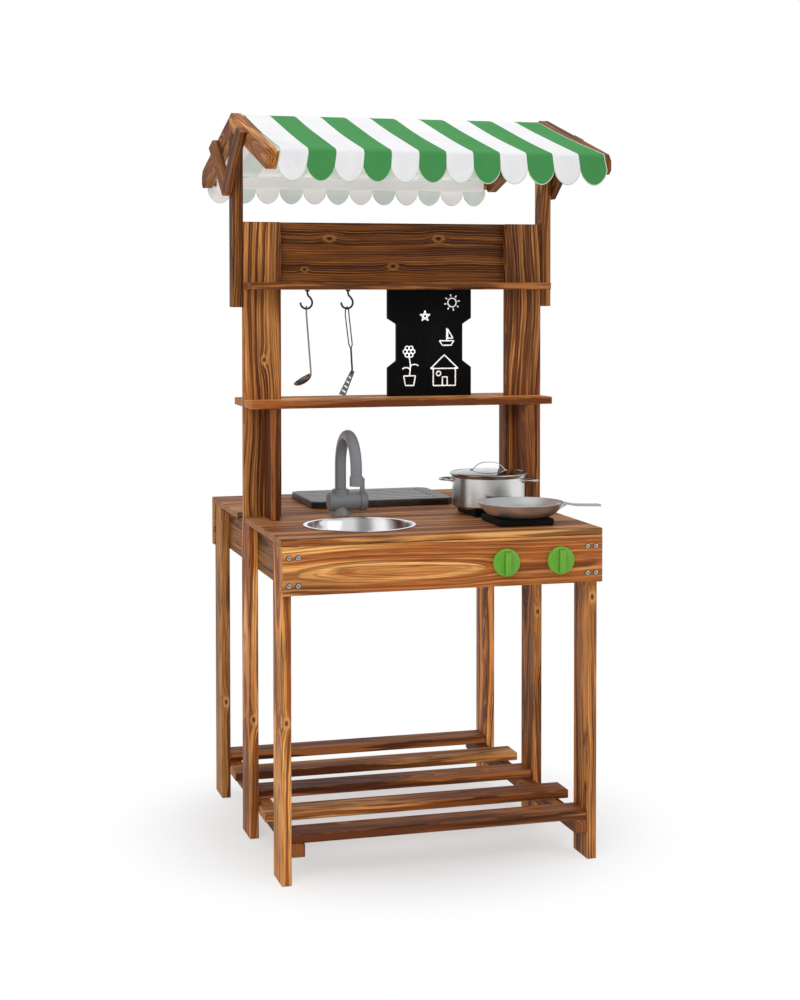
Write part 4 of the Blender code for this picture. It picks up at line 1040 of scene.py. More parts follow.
@dataclass(frozen=True)
class ChalkLine:
    """Dry white chalk, broken up by the board's tooth, with a faint painted glow that makes its strokes read
    whiter.
    """

    name: str = "chalk_line"
    glow: float = 0.30

    def finish(self) -> bpy.types.Material:
        """Builds the material."""
        surface = Surface(self.name)
        graph = surface.graph
        tooth = graph.noise(surface.place, 1300.0, 3.0, 0.7)
        colour = graph.mix(graph.smooth(tooth, 0.20, 0.34), srgb(196, 197, 197), srgb(254, 254, 253))
        surface.set(Base_Color=colour, Roughness=graph.times_plus(tooth, 0.1, 0.85))
        # Painted light: the chalk glows in its own colour so that its strokes read whiter on the upright
        # board.
        surface.set(Emission_Color=colour, Emission_Strength=self.glow)
        surface.bump(tooth, 0.4, 0.0002)
        return surface.material


def dress_node(name: str, material: bpy.types.Material) -> None:
    """Gives a CAD node one material.

    Args:
        name: the node's name.
        material: its finish.
    """
    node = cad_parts[name]
    for slot in node.material_slots:
        slot.material = material
    if not node.material_slots:
        node.data.materials.append(material)
    log.info("node %s: %s", name, material.name)


def shade_smoothly(name: str, limit: float = CRISP_ANGLE) -> None:
    """Shades a round CAD node smoothly across its facets. Its vertices stay as they are.

    Args:
        name: the node's name.
        limit: edges that turn more than this stay crisp.
    """
    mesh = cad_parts[name].data
    touching: dict[tuple[float, ...], list[tuple[Vector, float]]] = {}
    corners: list[tuple[tuple[float, ...], Vector]] = []
    for face in mesh.polygons:
        places = [mesh.vertices[index].co for index in face.vertices]
        for step, place in enumerate(places):
            following = places[(step + 1) % len(places)] - place
            before = places[step - 1] - place
            spot = tuple(round(value, 6) for value in place)
            touching.setdefault(spot, []).append((face.normal.copy(), following.angle(before, 0.0)))
            corners.append((spot, face.normal.copy()))
    normals = []
    for spot, own in corners:
        near = [(normal, angle) for normal, angle in touching[spot] if normal.dot(own) > math.cos(limit)]
        normals.append(sum((normal * angle for normal, angle in near), Vector()).normalized())
    mesh.polygons.foreach_set("use_smooth", [True] * len(mesh.polygons))
    mesh.normals_split_custom_set(normals)


def new_piece(
    name: str,
    build: Callable[[bmesh.types.BMesh], None],
    materials: Iterable[bpy.types.Material],
    body: str,
    smooth: bool = True,
) -> bpy.types.Object:
    """Makes a mesh piece that rides on a body.

    Args:
        name: the piece's name.
        build: fills the mesh.
        materials: its material slots.
        body: the body that it rides on.
        smooth: whether it is shaded smooth across shallow edges.

    Returns:
        The new object.
    """
    mesh = bpy.data.meshes.new(name)
    bm = bmesh.new()
    build(bm)
    bmesh.ops.recalc_face_normals(bm, faces=bm.faces)
    bm.to_mesh(mesh)
    bm.free()
    piece = bpy.data.objects.new(name, mesh)
    bpy.context.scene.collection.objects.link(piece)
    for material in materials:
        mesh.materials.append(material)
    if smooth:
        mesh.shade_smooth()
        mesh.set_sharp_from_angle(angle=CRISP_ANGLE)
    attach(piece, body)
    log.info("piece %s on %s", name, body)
    return piece


def skin(
    bm: bmesh.types.BMesh, rings: Sequence[Ring], looped: bool = False
) -> list[list[bmesh.types.BMFace]]:
    """Joins each ring of corners to the next one with four-sided faces.

    Args:
        bm: the mesh to fill.
        rings: rings with the same number of corners.
        looped: whether the last ring joins the first one.

    Returns:
        The faces of each band.
    """
    following_rings = [*rings[1:], rings[0]] if looped else rings[1:]
    bands = []
    for first, second in zip(rings, following_rings):
        band = []
        for step in range(len(first)):
            following = (step + 1) % len(first)
            band.append(bm.faces.new((first[step], first[following], second[following], second[step])))
        bands.append(band)
    return bands


def cap(bm: bmesh.types.BMesh, rings: Sequence[Ring]) -> None:
    """Closes both ends of a row of rings."""
    bm.faces.new(rings[0])
    bm.faces.new(list(reversed(rings[-1])))


def new_tube(
    name: str,
    path: Sequence[Point],
    radius: float,
    material: bpy.types.Material,
    body: str,
    closed: bool = False,
) -> bpy.types.Object:
    """Makes a round bead along a path.

    Args:
        name: the piece's name.
        path: its points in metres.
        radius: the bead's radius.
        material: its finish.
        body: the body that it rides on.
        closed: whether the path is a ring.

    Returns:
        The new mesh object.
    """

    def build(bm: bmesh.types.BMesh) -> None:
        """Sweeps a small ring of points along the path."""
        sides = 8
        rings: list[Ring] = []
        points = [Vector(point) for point in path]
        count = len(points)
        side = Vector((0, 1, 0))
        for index, point in enumerate(points):
            before = points[index - 1] if index or closed else point
            after = points[(index + 1) % count] if index < count - 1 or closed else point
            ahead = (after - before).normalized()
            side = (side - ahead * side.dot(ahead)).normalized()
            other = ahead.cross(side)
            ring = []
            for step in range(sides):
                angle = math.tau * step / sides
                ring.append(bm.verts.new(point + radius * (math.cos(angle) * side + math.sin(angle) * other)))
            rings.append(ring)
        skin(bm, rings, looped=closed)
        if not closed:
            cap(bm, rings)

    return new_piece(name, build, [material], body)


def lathe(
    bm: bmesh.types.BMesh, profile: Sequence[tuple[float, float]], centre: Point, steps: int = 96
) -> None:
    """Turns a closed profile about an upright axis.

    Args:
        bm: the mesh to fill.
        profile: radius and height of each corner.
        centre: where the axis stands.
        steps: how many sides the turned shape has.
    """
    middle = Vector(centre)
    rings: list[Ring] = []
    for radius, height in profile:
        if radius < 1e-6:
            rings.append([bm.verts.new(middle + Vector((0, 0, height)))])
            continue
        ring = []
        for step in range(steps):
            angle = math.tau * step / steps
            offset = Vector((radius * math.cos(angle), radius * math.sin(angle), height))
            ring.append(bm.verts.new(middle + offset))
        rings.append(ring)
    for index, first in enumerate(rings):
        second = rings[(index + 1) % len(rings)]
        if len(first) == 1 and len(second) == 1:
            continue
        for step in range(steps):
            following = (step + 1) % steps
            corners = [first[step % len(first)], first[following % len(first)]]
            corners += [second[following % len(second)], second[step % len(second)]]
            unique = list(dict.fromkeys(corners))
            bm.faces.new(unique)


class Carpentry:
    """A sub-assembly of boards."""

    def boards(self) -> list[Board]:
        """Gives every board with its cut and stain."""
        raise NotImplementedError

    def build(self) -> None:
        """Dresses the boards."""
        for board in self.boards():
            board.dress()


@dataclass
class Table(Carpentry):
    """The fir table: legs, aprons, worktop panels, floor rails and slats, and their screws."""

    screw_radius: float = 0.0043
    screw_sides: int = 20
    screw_profile: Profile = (
        (1.26, 0.0001), (1.00, 0.0003), (0.96, 0.0009), (0.74, 0.0014), (0.45, 0.0016), (0.38, 0.0005),
    )
    recess_rings: int = 2
    screw_columns: tuple[float, ...] = (0.2870, 0.2705)
    screw_rows: tuple[float, ...] = (0.5845, 0.5355)
    front_face: float = -0.33775
    rear_face: float = 0.33725
    leg_knot_radius: float = 0.0055
    leg_looks: dict[str, tuple[float, float]] = field(
        default_factory=lambda: {
            "leg_front_left": (0.290, 1.36), "leg_front_right": (0.487, 1.10),
            "leg_middle_left": (0.230, 1.43), "leg_middle_right": (0.410, 1.12),
            "leg_rear_left": (0.200, 0.75), "leg_rear_right": (0.427, 1.92),
        }
    )

    def boards(self) -> list[Board]:
        """Gives every board of the table with its cut and stain."""
        made = [
            Board(
                "apron_front", Tone.GOLDEN, Grain.FACING, ring=0.0075, pith=(-0.085, -0.008, -0.0030),
                bow=0.218, slope=0.0, zones=38.0, wander=0.40, oval=(0.0142, 0.0186), veins=0.65,
                shade=1.24,
            ),
            Board("apron_rear", Tone.AMBER, Grain.FACING, ring=0.005, bow=0.3),
            Board("apron_left", Tone.STRIPED, Grain.SIDE, ring=0.0058, slope=0.02, shade=0.62, veins=0.6),
            Board("apron_right", Tone.AMBER, Grain.SIDE, ring=0.0042),
            Board(
                "tabletop_front_panel", Tone.WORKTOP, ring=0.0055, planks=3, pith=(0.0, 0.075, -0.045),
                slope=0.01, edge=Tone.GOLDEN, shade=1.22,
            ),
            Board("tabletop_middle_plank", Tone.WORKTOP, ring=0.005, slope=0.01, shade=1.30),
            Board("tabletop_rear_panel", Tone.WORKTOP, ring=0.0055, planks=2, slope=0.01, shade=1.30),
            Board("floor_rail_left", Tone.RUSSET, Grain.SIDE),
            Board("floor_rail_right", Tone.RUSSET, Grain.SIDE),
        ]
        for number in range(1, 6):
            tone = Tone.RUSSET if number % 2 else Tone.AMBER
            made.append(Board(f"floor_slat_{number}", tone, ring=0.005, slope=0.02, edge=tone, shade=0.90))
        for place, side in itertools.product(("front", "middle", "rear"), ("left", "right")):
            node = f"leg_{place}_{side}"
            low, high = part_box(node)
            knot_height, shade = self.leg_looks[node]
            knot = Knot(((low[0] + high[0]) / 2, low[1], knot_height), self.leg_knot_radius, through=1)
            tone = Tone.AMBER if side == "left" else Tone.STRIPED
            leg = Board(
                node, tone, Grain.POST, ring=0.0048, slope=0.015, zones=110.0, knots=(knot,), shade=shade
            )
            made.append(leg)
        return made

    def _screw(self, bm: bmesh.types.BMesh, x: float, y: float, z: float, outward: int) -> None:
        """Adds one raised countersunk head with a cross recess, facing outward along y."""
        rings: list[Ring] = []
        first_recess = len(self.screw_profile) - self.recess_rings
        for number, (share, rise) in enumerate(self.screw_profile):
            ring = []
            for step in range(self.screw_sides):
                angle = math.tau * step / self.screw_sides
                cross = 0.45 + 0.75 * abs(math.cos(2 * angle)) ** 3 if number >= first_recess else 1.0
                reach = self.screw_radius * share * cross
                place = (x + reach * math.cos(angle), y + outward * rise, z + reach * math.sin(angle))
                ring.append(bm.verts.new(place))
            rings.append(ring)
        bands = skin(bm, rings)
        # The dark finish goes on the band round the head, as pressed wood with painted shade, and into the
        # cross recess as painted shade.
        for face in bands[0] + bands[-1]:
            face.material_index = 1
        bm.faces.new(rings[-1]).material_index = 1
        bm.faces.new(list(reversed(rings[0])))

    def build(self) -> None:
        """Dresses the boards and drives the screws of both end aprons."""
        super().build()
        zinc = BrushedSteel("screw_zinc", (0, 0, 0.56), srgb(178, 176, 170), 0.34, 0.0).finish()
        # Dark brown for the pressed wood round each head, with painted shade, and for painted shade in the
        # cross recess.
        pressed = Enamel("screw_pressed_wood_and_shade", srgb(58, 33, 19), 0.7, 0.0001).finish()
        for name, face, outward in (("front", self.front_face, -1), ("rear", self.rear_face, 1)):

            def fill(bm: bmesh.types.BMesh, face: float = face, outward: int = outward) -> None:
                """Adds the eight heads of one apron."""
                for x in self.screw_columns:
                    for sign in (-1, 1):
                        for z in self.screw_rows:
                            self._screw(bm, sign * x, face, z, outward)

            piece = new_piece(f"screws_{name}", fill, [zinc, pressed], "frame")


class Back(Carpentry):
    """The upright boards, brackets, shelves and back panel."""

    def boards(self) -> list[Board]:
        """Gives every board of the back with its cut and stain."""
        made = [
            Board(
                "back_panel",
                Tone.PANEL,
                Grain.FACING,
                ring=0.0046,
                wander=0.7,
                pith=(0.0, 0.15, -0.03),
                slope=0.0,
                knots=(
                    Knot((-0.1285, 0.012, 1.1520), 0.0060),
                    Knot((0.0930, 0.012, 1.1530), 0.0060),
                    Knot((0.0000, 0.012, 1.0985), 0.0055),
                    Knot((-0.1780, 0.012, 1.0920), 0.0040),
                ),
            ),
            Board(
                "hook_rail",
                Tone.RUSSET,
                ring=0.0040,
                shade=0.78,
                edge=Tone.RUSSET,
                knots=(
                    Knot((-0.1090, -0.069, 1.0597), 0.0040, through=1),
                    Knot((0.0700, -0.069, 1.0597), 0.0040, through=1),
                ),
            ),
            Board("lower_shelf", Tone.AMBER, ring=0.0045, slope=0.01, shade=1.95, edge=Tone.GOLDEN),
        ]
        looks = (("left", (0.0, -0.070, -0.030), 1.0), ("right", (0.0, 0.085, -0.030), 0.98))
        for side, pith, shade in looks:
            upright = Board(
                f"upright_board_{side}", Tone.STRIPED, Grain.UPRIGHT, ring=0.0062, pith=pith, slope=0.01,
                zones=95.0, veins=0.6,
                knots=(Knot((-0.2615, 0.0, 0.9180), 0.0050),) if side == "left" else (), shade=shade,
            )
            made.append(upright)
            made.append(Board(f"front_bracket_{side}", Tone.RUSSET, Grain.POST, ring=0.005))
            made.append(Board(f"rear_bracket_{side}", Tone.RUSSET, Grain.POST, ring=0.005))
        return made


@dataclass
class Roof(Carpentry):
    """Posts, rafters, braces and beams of the gable roof."""

    slope: float = 0.278
    brace_slope: float = 0.69
    rafter_half: Point = (0.175, 0.018, 0.010)
    brace_half: Point = (0.10, 0.018, 0.0065)

    def boards(self) -> list[Board]:
        """Gives every board of the roof with its cut and stain."""
        made = [
            Board("ridge_beam", Tone.RUSSET),
            Board("eave_beam_front", Tone.GOLDEN),
            Board("eave_beam_rear", Tone.GOLDEN),
        ]
        for side in ("left", "right"):
            tone, shade = (Tone.PANEL, 0.70) if side == "left" else (Tone.STRIPED, 1.15)
            made.append(Board(f"roof_post_{side}", tone, Grain.POST, ring=0.0046, slope=0.01, shade=shade))
            for end, sign in (("front", 1), ("rear", -1)):
                rafter = Board(
                    f"rafter_{end}_{side}", Tone.AMBER if side == "left" else Tone.RUSSET,
                    shade=1.10 if side == "left" else 0.60, lean=sign * math.atan(self.slope),
                    half_size=self.rafter_half,
                )
                made.append(rafter)
                brace = Board(
                    f"roof_brace_{end}_{side}", Tone.RUSSET, shade=0.72,
                    lean=-sign * math.atan(self.brace_slope), half_size=self.brace_half,
                )
                made.append(brace)
        return made


@dataclass
class Canopy:
    """The striped cloth over the ridge and both eaves, with scalloped hems."""

    stripes: int = 12
    columns: int = 14
    slope_rows: int = 16
    roll_rows: int = 5
    valance_rows: int = 8
    thickness: float = 0.0013
    ridge: float = 1.3880
    centre: float = 0.00925
    reach: float = 0.349
    roll: float = 0.010
    sag: float = 0.0022
    ridge_drop: float = 0.0016
    ridge_reach: float = 0.007
    ridge_half: float = 0.2975
    eave_half: float = 0.3000
    roll_half: float = 0.3010
    valance_half: float = 0.3055
    lobe: float = 0.0260
    lobe_fullness: float = 0.62
    ripple: float = 0.0008
    swell: float = 0.0018
    sway: float = 0.0011
    binding: float = 0.0009
    slopes: dict[str, float] = field(default_factory=lambda: {"front": 0.259, "rear": 0.277})
    notches: dict[str, float] = field(default_factory=lambda: {"front": 1.2680, "rear": 1.2605})
    flat_size: tuple[float, float] = (0.611, 0.862)
    sleeve_reach: float = 0.2925
    sleeve_shift: tuple[float, float] = (0.0010, -0.0009)
    sleeve_ease: tuple[float, float] = (0.0017, 0.0019)
    sleeve_slack: float = 0.0016
    sleeve_ripple: float = 0.0004
    sleeve_sides: int = 28
    sleeve_stations: int = 60

    def _rows(self, end: str) -> list[ClothRow]:
        """Gives the rows from ridge to hem: reach, height, half width, share of lobe, free share."""
        slope = self.slopes[end]
        straight = self.reach - self.roll
        rows: list[ClothRow] = []
        for step in range(self.slope_rows + 1):
            share = step / self.slope_rows
            free = math.sin(math.pi * share)
            reach = share * straight
            half = self.ridge_half + (self.eave_half - self.ridge_half) * share
            rounding = self.ridge_drop * math.exp(-((reach / self.ridge_reach) ** 2))
            height = self.ridge - reach * slope - self.sag * free - rounding
            rows.append((reach, height, half, 0.0, free))
        start = self.ridge - straight * slope
        lean = math.atan(slope)
        turn = math.pi / 2 - lean
        radius = self.roll / math.cos(lean) * 0.95
        for step in range(1, self.roll_rows + 1):
            angle = lean + turn * step / self.roll_rows
            out = radius * (math.sin(angle) - math.sin(lean))
            down = radius * (math.cos(lean) - math.cos(angle))
            spread = out / (1 - math.sin(lean)) * self.roll / radius
            rows.append((straight + spread, start - down, self.roll_half, 0.0, 0.0))
        top = rows[-1][1]
        for step in range(1, self.valance_rows + 1):
            share = step / self.valance_rows
            half = self.roll_half + (self.valance_half - self.roll_half) * share
            height = top + (self.notches[end] - top) * share
            rows.append((self.reach, height, half, share, 0.0))
        return rows

    def _lobe_drop(self, share: float) -> float:
        """Gives how far a lobe hangs below its notches at a share of its width."""
        return self.lobe * max(0.0, math.sin(math.pi * share)) ** self.lobe_fullness

    def _grid(self) -> list[list[Vector]]:
        """Gives the cloth's outer face, from the front hem over the ridge to the rear hem."""
        total = self.stripes * self.columns
        front = [(-row[0], *row[1:]) for row in reversed(self._rows("front")[1:])]
        grid: list[list[Vector]] = []
        for reach, height, half, hem, free in front + self._rows("rear"):
            sign = -1 if reach < 0 else 1
            line = []
            for column in range(total + 1):
                share = (column % self.columns) / self.columns
                x = -half + 2 * half * column / total
                wave = self.ripple * free * math.sin(x * 41.0 + reach * 9.0)
                swell = self.swell * math.sin(math.pi * share) ** 0.8
                sway = self.sway * math.sin(column / self.columns * 2.1 + 0.6)
                y = self.centre + reach + sign * hem * hem * (swell + sway)
                line.append(Vector((x, y, height - hem * self._lobe_drop(share) + wave)))
            grid.append(line)
        return grid

    def build(self) -> None:
        """Cuts, drapes and dresses the cloth, its bound edge and the rod sleeves."""
        white = Cloth("canopy_white", srgb(243, 243, 245)).finish()
        green = Cloth("canopy_green", srgb(74, 148, 84)).finish()
        # The inside finishes, which the sleeves share, glow a little: painted light for daylight shining
        # through the cloth.
        inside_white = Cloth("canopy_white_inside", srgb(228, 228, 225), glow=0.38).finish()
        inside_green = Cloth("canopy_green_inside", srgb(208, 217, 210), glow=0.34).finish()
        edge = Cloth("canopy_edge", srgb(206, 228, 204)).finish()
        grid = self._grid()
        rows = len(grid)
        total = self.stripes * self.columns

        def normal_at(row: int, column: int) -> Vector:
            """Gives the cloth's outward direction at a grid point."""
            down = grid[min(row + 1, rows - 1)][column] - grid[max(row - 1, 0)][column]
            side = grid[row][min(column + 1, total)] - grid[row][max(column - 1, 0)]
            return side.cross(down).normalized()

        def fill(bm: bmesh.types.BMesh) -> None:
            """Adds both faces of the cloth and its cut edge."""
            outer = [[bm.verts.new(point) for point in line] for line in grid]
            inner = [
                [
                    bm.verts.new(grid[row][column] - normal_at(row, column) * self.thickness)
                    for column in range(total + 1)
                ]
                for row in range(rows)
            ]
            inside, cut = 2, 4

            def add(material: int, *corners: bmesh.types.BMVert) -> None:
                """Adds one face in one of the cloth's finishes."""
                bm.faces.new(corners).material_index = material

            for row, column in itertools.product(range(rows - 1), range(total)):
                stripe = (column // self.columns) % 2
                below, beside = row + 1, column + 1
                corners = (outer[row][column], outer[row][beside], outer[below][beside], outer[below][column])
                add(stripe, *corners)
                corners = (inner[row][column], inner[below][column], inner[below][beside], inner[row][beside])
                add(inside + stripe, *corners)
            for column, row in itertools.product(range(total), (0, rows - 1)):
                beside = column + 1
                add(cut, outer[row][column], inner[row][column], inner[row][beside], outer[row][beside])
            for row, column in itertools.product(range(rows - 1), (0, total)):
                below = row + 1
                add(cut, outer[row][column], outer[below][column], inner[below][column], inner[row][column])

        cloth = new_piece("canopy_cloth", fill, [white, green, inside_white, inside_green, edge], "frame")
        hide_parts("canopy")
        outline = [tuple(point) for point in grid[0]]
        outline += [tuple(line[-1]) for line in grid[1:]]
        outline += [tuple(point) for point in reversed(grid[-1][:-1])]
        outline += [tuple(line[0]) for line in reversed(grid[1:-1])]
        binding = new_tube("canopy_binding", outline, self.binding, edge, "frame", closed=True)
        sleeves = [self._sleeve(end, inside_white) for end in ("front", "rear")]

    def _sleeve(self, end: str, material: bpy.types.Material) -> bpy.types.Object:
        """Wraps a pale sleeve around one eave rod.

        Args:
            end: front or rear.
            material: the cloth's inside finish.

        Returns:
            The sleeve.
        """
        low, high = (Vector(corner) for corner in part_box(f"eave_beam_{end}"))
        inward = 1 if end == "front" else -1
        shift_y, shift_z = self.sleeve_shift
        middle = (low + high) / 2 + Vector((0, inward * shift_y, shift_z))
        half_y = (high.y - low.y) / 2 + self.sleeve_ease[0]
        half_z = (high.z - low.z) / 2 + self.sleeve_ease[1]
        reach = self.sleeve_reach

        def fill(bm: bmesh.types.BMesh) -> None:
            """Adds a soft rounded tube that is slack underneath."""
            rings: list[Ring] = []
            for station in range(self.sleeve_stations + 1):
                x = -reach + 2 * reach * station / self.sleeve_stations
                ring = []
                for step in range(self.sleeve_sides):
                    angle = math.tau * step / self.sleeve_sides
                    cos, sin = math.cos(angle), math.sin(angle)
                    stretch = 1.0 / max(abs(cos) ** 5 + abs(sin) ** 5, 1e-6) ** (1 / 5)
                    slack = self.sleeve_slack * max(0.0, -sin) * (1 + 0.5 * math.sin(x * 57.0 + 1.3))
                    ripple = self.sleeve_ripple * math.sin(x * 90.0 + 3 * angle)
                    y = middle.y + cos * stretch * (half_y + ripple)
                    z = middle.z + sin * stretch * (half_z + ripple) - slack
                    ring.append(bm.verts.new((x, y, z)))
                rings.append(ring)
            skin(bm, rings)

        sleeve = new_piece(f"eave_sleeve_{end}", fill, [material], "frame")
        return sleeve


@dataclass
class Chalkboard:
    """The waisted chalkboard and the chalk drawings on its face."""

    face: float = 0.0285
    stroke: float = 0.0023
    half_widths: tuple[float, float] = (0.42, 0.62)
    proud: float = 0.0003
    spacing: float = 0.0022
    wobble: float = 0.00015

    @staticmethod
    def _arc(
        x: float,
        z: float,
        radius: float,
        start: float = 0.0,
        end: float = 360.0,
        squash: float = 1.0,
        steps: int = 14,
    ) -> Stroke:
        """Gives points on an arc.

        Args:
            x: its centre across the board.
            z: its centre's height.
            radius: its radius.
            start: the angle where it starts, in degrees.
            end: the angle where it ends, in degrees.
            squash: its height as a share of its width.
            steps: how many straight parts it has.

        Returns:
            The arc as a stroke.
        """
        made = []
        for step in range(steps + 1):
            angle = math.radians(start + (end - start) * step / steps)
            made.append((x + radius * math.cos(angle), z + radius * squash * math.sin(angle)))
        return made

    @staticmethod
    def _path(x: float, z: float, *offsets: tuple[float, float]) -> Stroke:
        """Gives a stroke through points that are measured from one place."""
        return [(x + across, z + up) for across, up in offsets]

    @staticmethod
    def _around(x: float, z: float, radius: float, angle: float) -> tuple[float, float]:
        """Gives the point at an angle and a distance from another one."""
        return x + radius * math.cos(angle), z + radius * math.sin(angle)

    def _sun(self, x: float, z: float) -> list[Stroke]:
        """Draws a sun with eight rays."""
        rays = 8
        strokes = [self._arc(x, z, 0.0088)]
        for ray in range(rays):
            angle = math.tau * ray / rays + 0.2
            strokes.append([self._around(x, z, reach, angle) for reach in (0.0120, 0.0165)])
        return strokes

    def _star(self, x: float, z: float) -> list[Stroke]:
        """Draws a star with five points in one line."""
        angles = [math.radians(90 + 144 * corner) for corner in range(6)]
        return [[self._around(x, z, 0.0110, angle) for angle in angles]]

    def _house(self, x: float, z: float) -> list[Stroke]:
        """Draws a house with a roof, a door and a round window."""
        half, tall, eave, peak = 0.023, 0.036, 0.02852, 0.061
        foot = tall - 0.002
        return [
            self._path(x, z, (-half, 0.0), (half, 0.0)), self._path(x, z, (-half, 0.0), (-half, tall)),
            self._path(x, z, (half, 0.0), (half, tall)),
            self._path(x, z, (-eave, foot), (0.0, peak), (eave, foot), (-eave, foot)),
            self._path(x, z, (-0.004, 0.0), (-0.004, 0.017), (0.006, 0.017), (0.006, 0.0)),
            self._arc(x - 0.012, z + 0.024, 0.0045),
        ]

    def _flower(self, x: float, z: float) -> list[Stroke]:
        """Draws a flower with six petals and two leaves in a pot."""
        petals = 6
        rim, base, deep = 0.012, 0.0085, -0.019
        strokes = [self._path(x, z, (0.0, 0.0), (0.002, 0.020), (-0.001, 0.040))]
        for petal in range(petals):
            place = self._around(x - 0.001, z + 0.048, 0.0078, math.tau * petal / petals)
            strokes.append(self._arc(*place, 0.0042, steps=10))
        strokes.append(self._arc(x + 0.010, z + 0.018, 0.0085, 180, 20, 0.55))
        strokes.append(self._arc(x - 0.007, z + 0.012, 0.0080, 0, 165, 0.55))
        strokes.append(self._path(x, z, (-rim, 0.0), (rim, 0.0), (base, deep), (-base, deep), (-rim, 0.0)))
        return strokes

    def _boat(self, x: float, z: float) -> list[Stroke]:
        """Draws a little boat: hull, mast and sail."""
        hull = ((-0.015, 0.009), (-0.009, 0.0), (0.009, 0.0), (0.015, 0.009), (-0.015, 0.009))
        mast = ((0.0, 0.009), (0.0, 0.034))
        sail = ((0.002, 0.032), (0.013, 0.014), (0.002, 0.014), (0.002, 0.032))
        return [self._path(x, z, *part) for part in (hull, mast, sail)]

    def drawings(self) -> list[Stroke]:
        """Gives every stroke on the board, in the order in which it is drawn."""
        strokes = self._sun(0.126, 1.0270)
        strokes += self._star(0.0700, 1.0000)
        strokes += self._house(0.110, 0.8620)
        strokes += self._flower(0.0380, 0.8820)
        strokes += self._boat(0.1150, 0.9420)
        return strokes

    def build(self) -> None:
        """Paints the board and draws on it."""
        dress_node("chalkboard", BoardPaint().finish())
        chalk = ChalkLine().finish()
        chance = random.Random(11)

        def fill(bm: bmesh.types.BMesh) -> None:
            """Lays each stroke as a thin flat ribbon of uneven width."""
            for stroke in self.drawings():
                dense: list[Vector] = []
                for first, second in zip(stroke, stroke[1:]):
                    start, end = Vector(first), Vector(second)
                    count = max(1, int((end - start).length / self.spacing))
                    dense += [start.lerp(end, step / count) for step in range(count)]
                dense.append(Vector(stroke[-1]))
                rings: list[Ring] = []
                for index, point in enumerate(dense):
                    before = dense[max(0, index - 1)]
                    after = dense[min(len(dense) - 1, index + 1)]
                    ahead = after - before
                    if ahead.length < 1e-9:
                        ahead = Vector((1, 0))
                    ahead.normalize()
                    side = Vector((-ahead.y, ahead.x))
                    half = self.stroke * chance.uniform(*self.half_widths)
                    middle = point + side * chance.uniform(-self.wobble, self.wobble)
                    left, right = middle - side * half, middle + side * half
                    front = self.face - self.proud
                    corners = ((left, self.face), (left, front), (right, front), (right, self.face))
                    rings.append([bm.verts.new((flat.x, y, flat.y)) for flat, y in corners])
                skin(bm, rings)
                cap(bm, rings)

        drawing = new_piece("chalk_drawing", fill, [chalk], "frame", smooth=False)


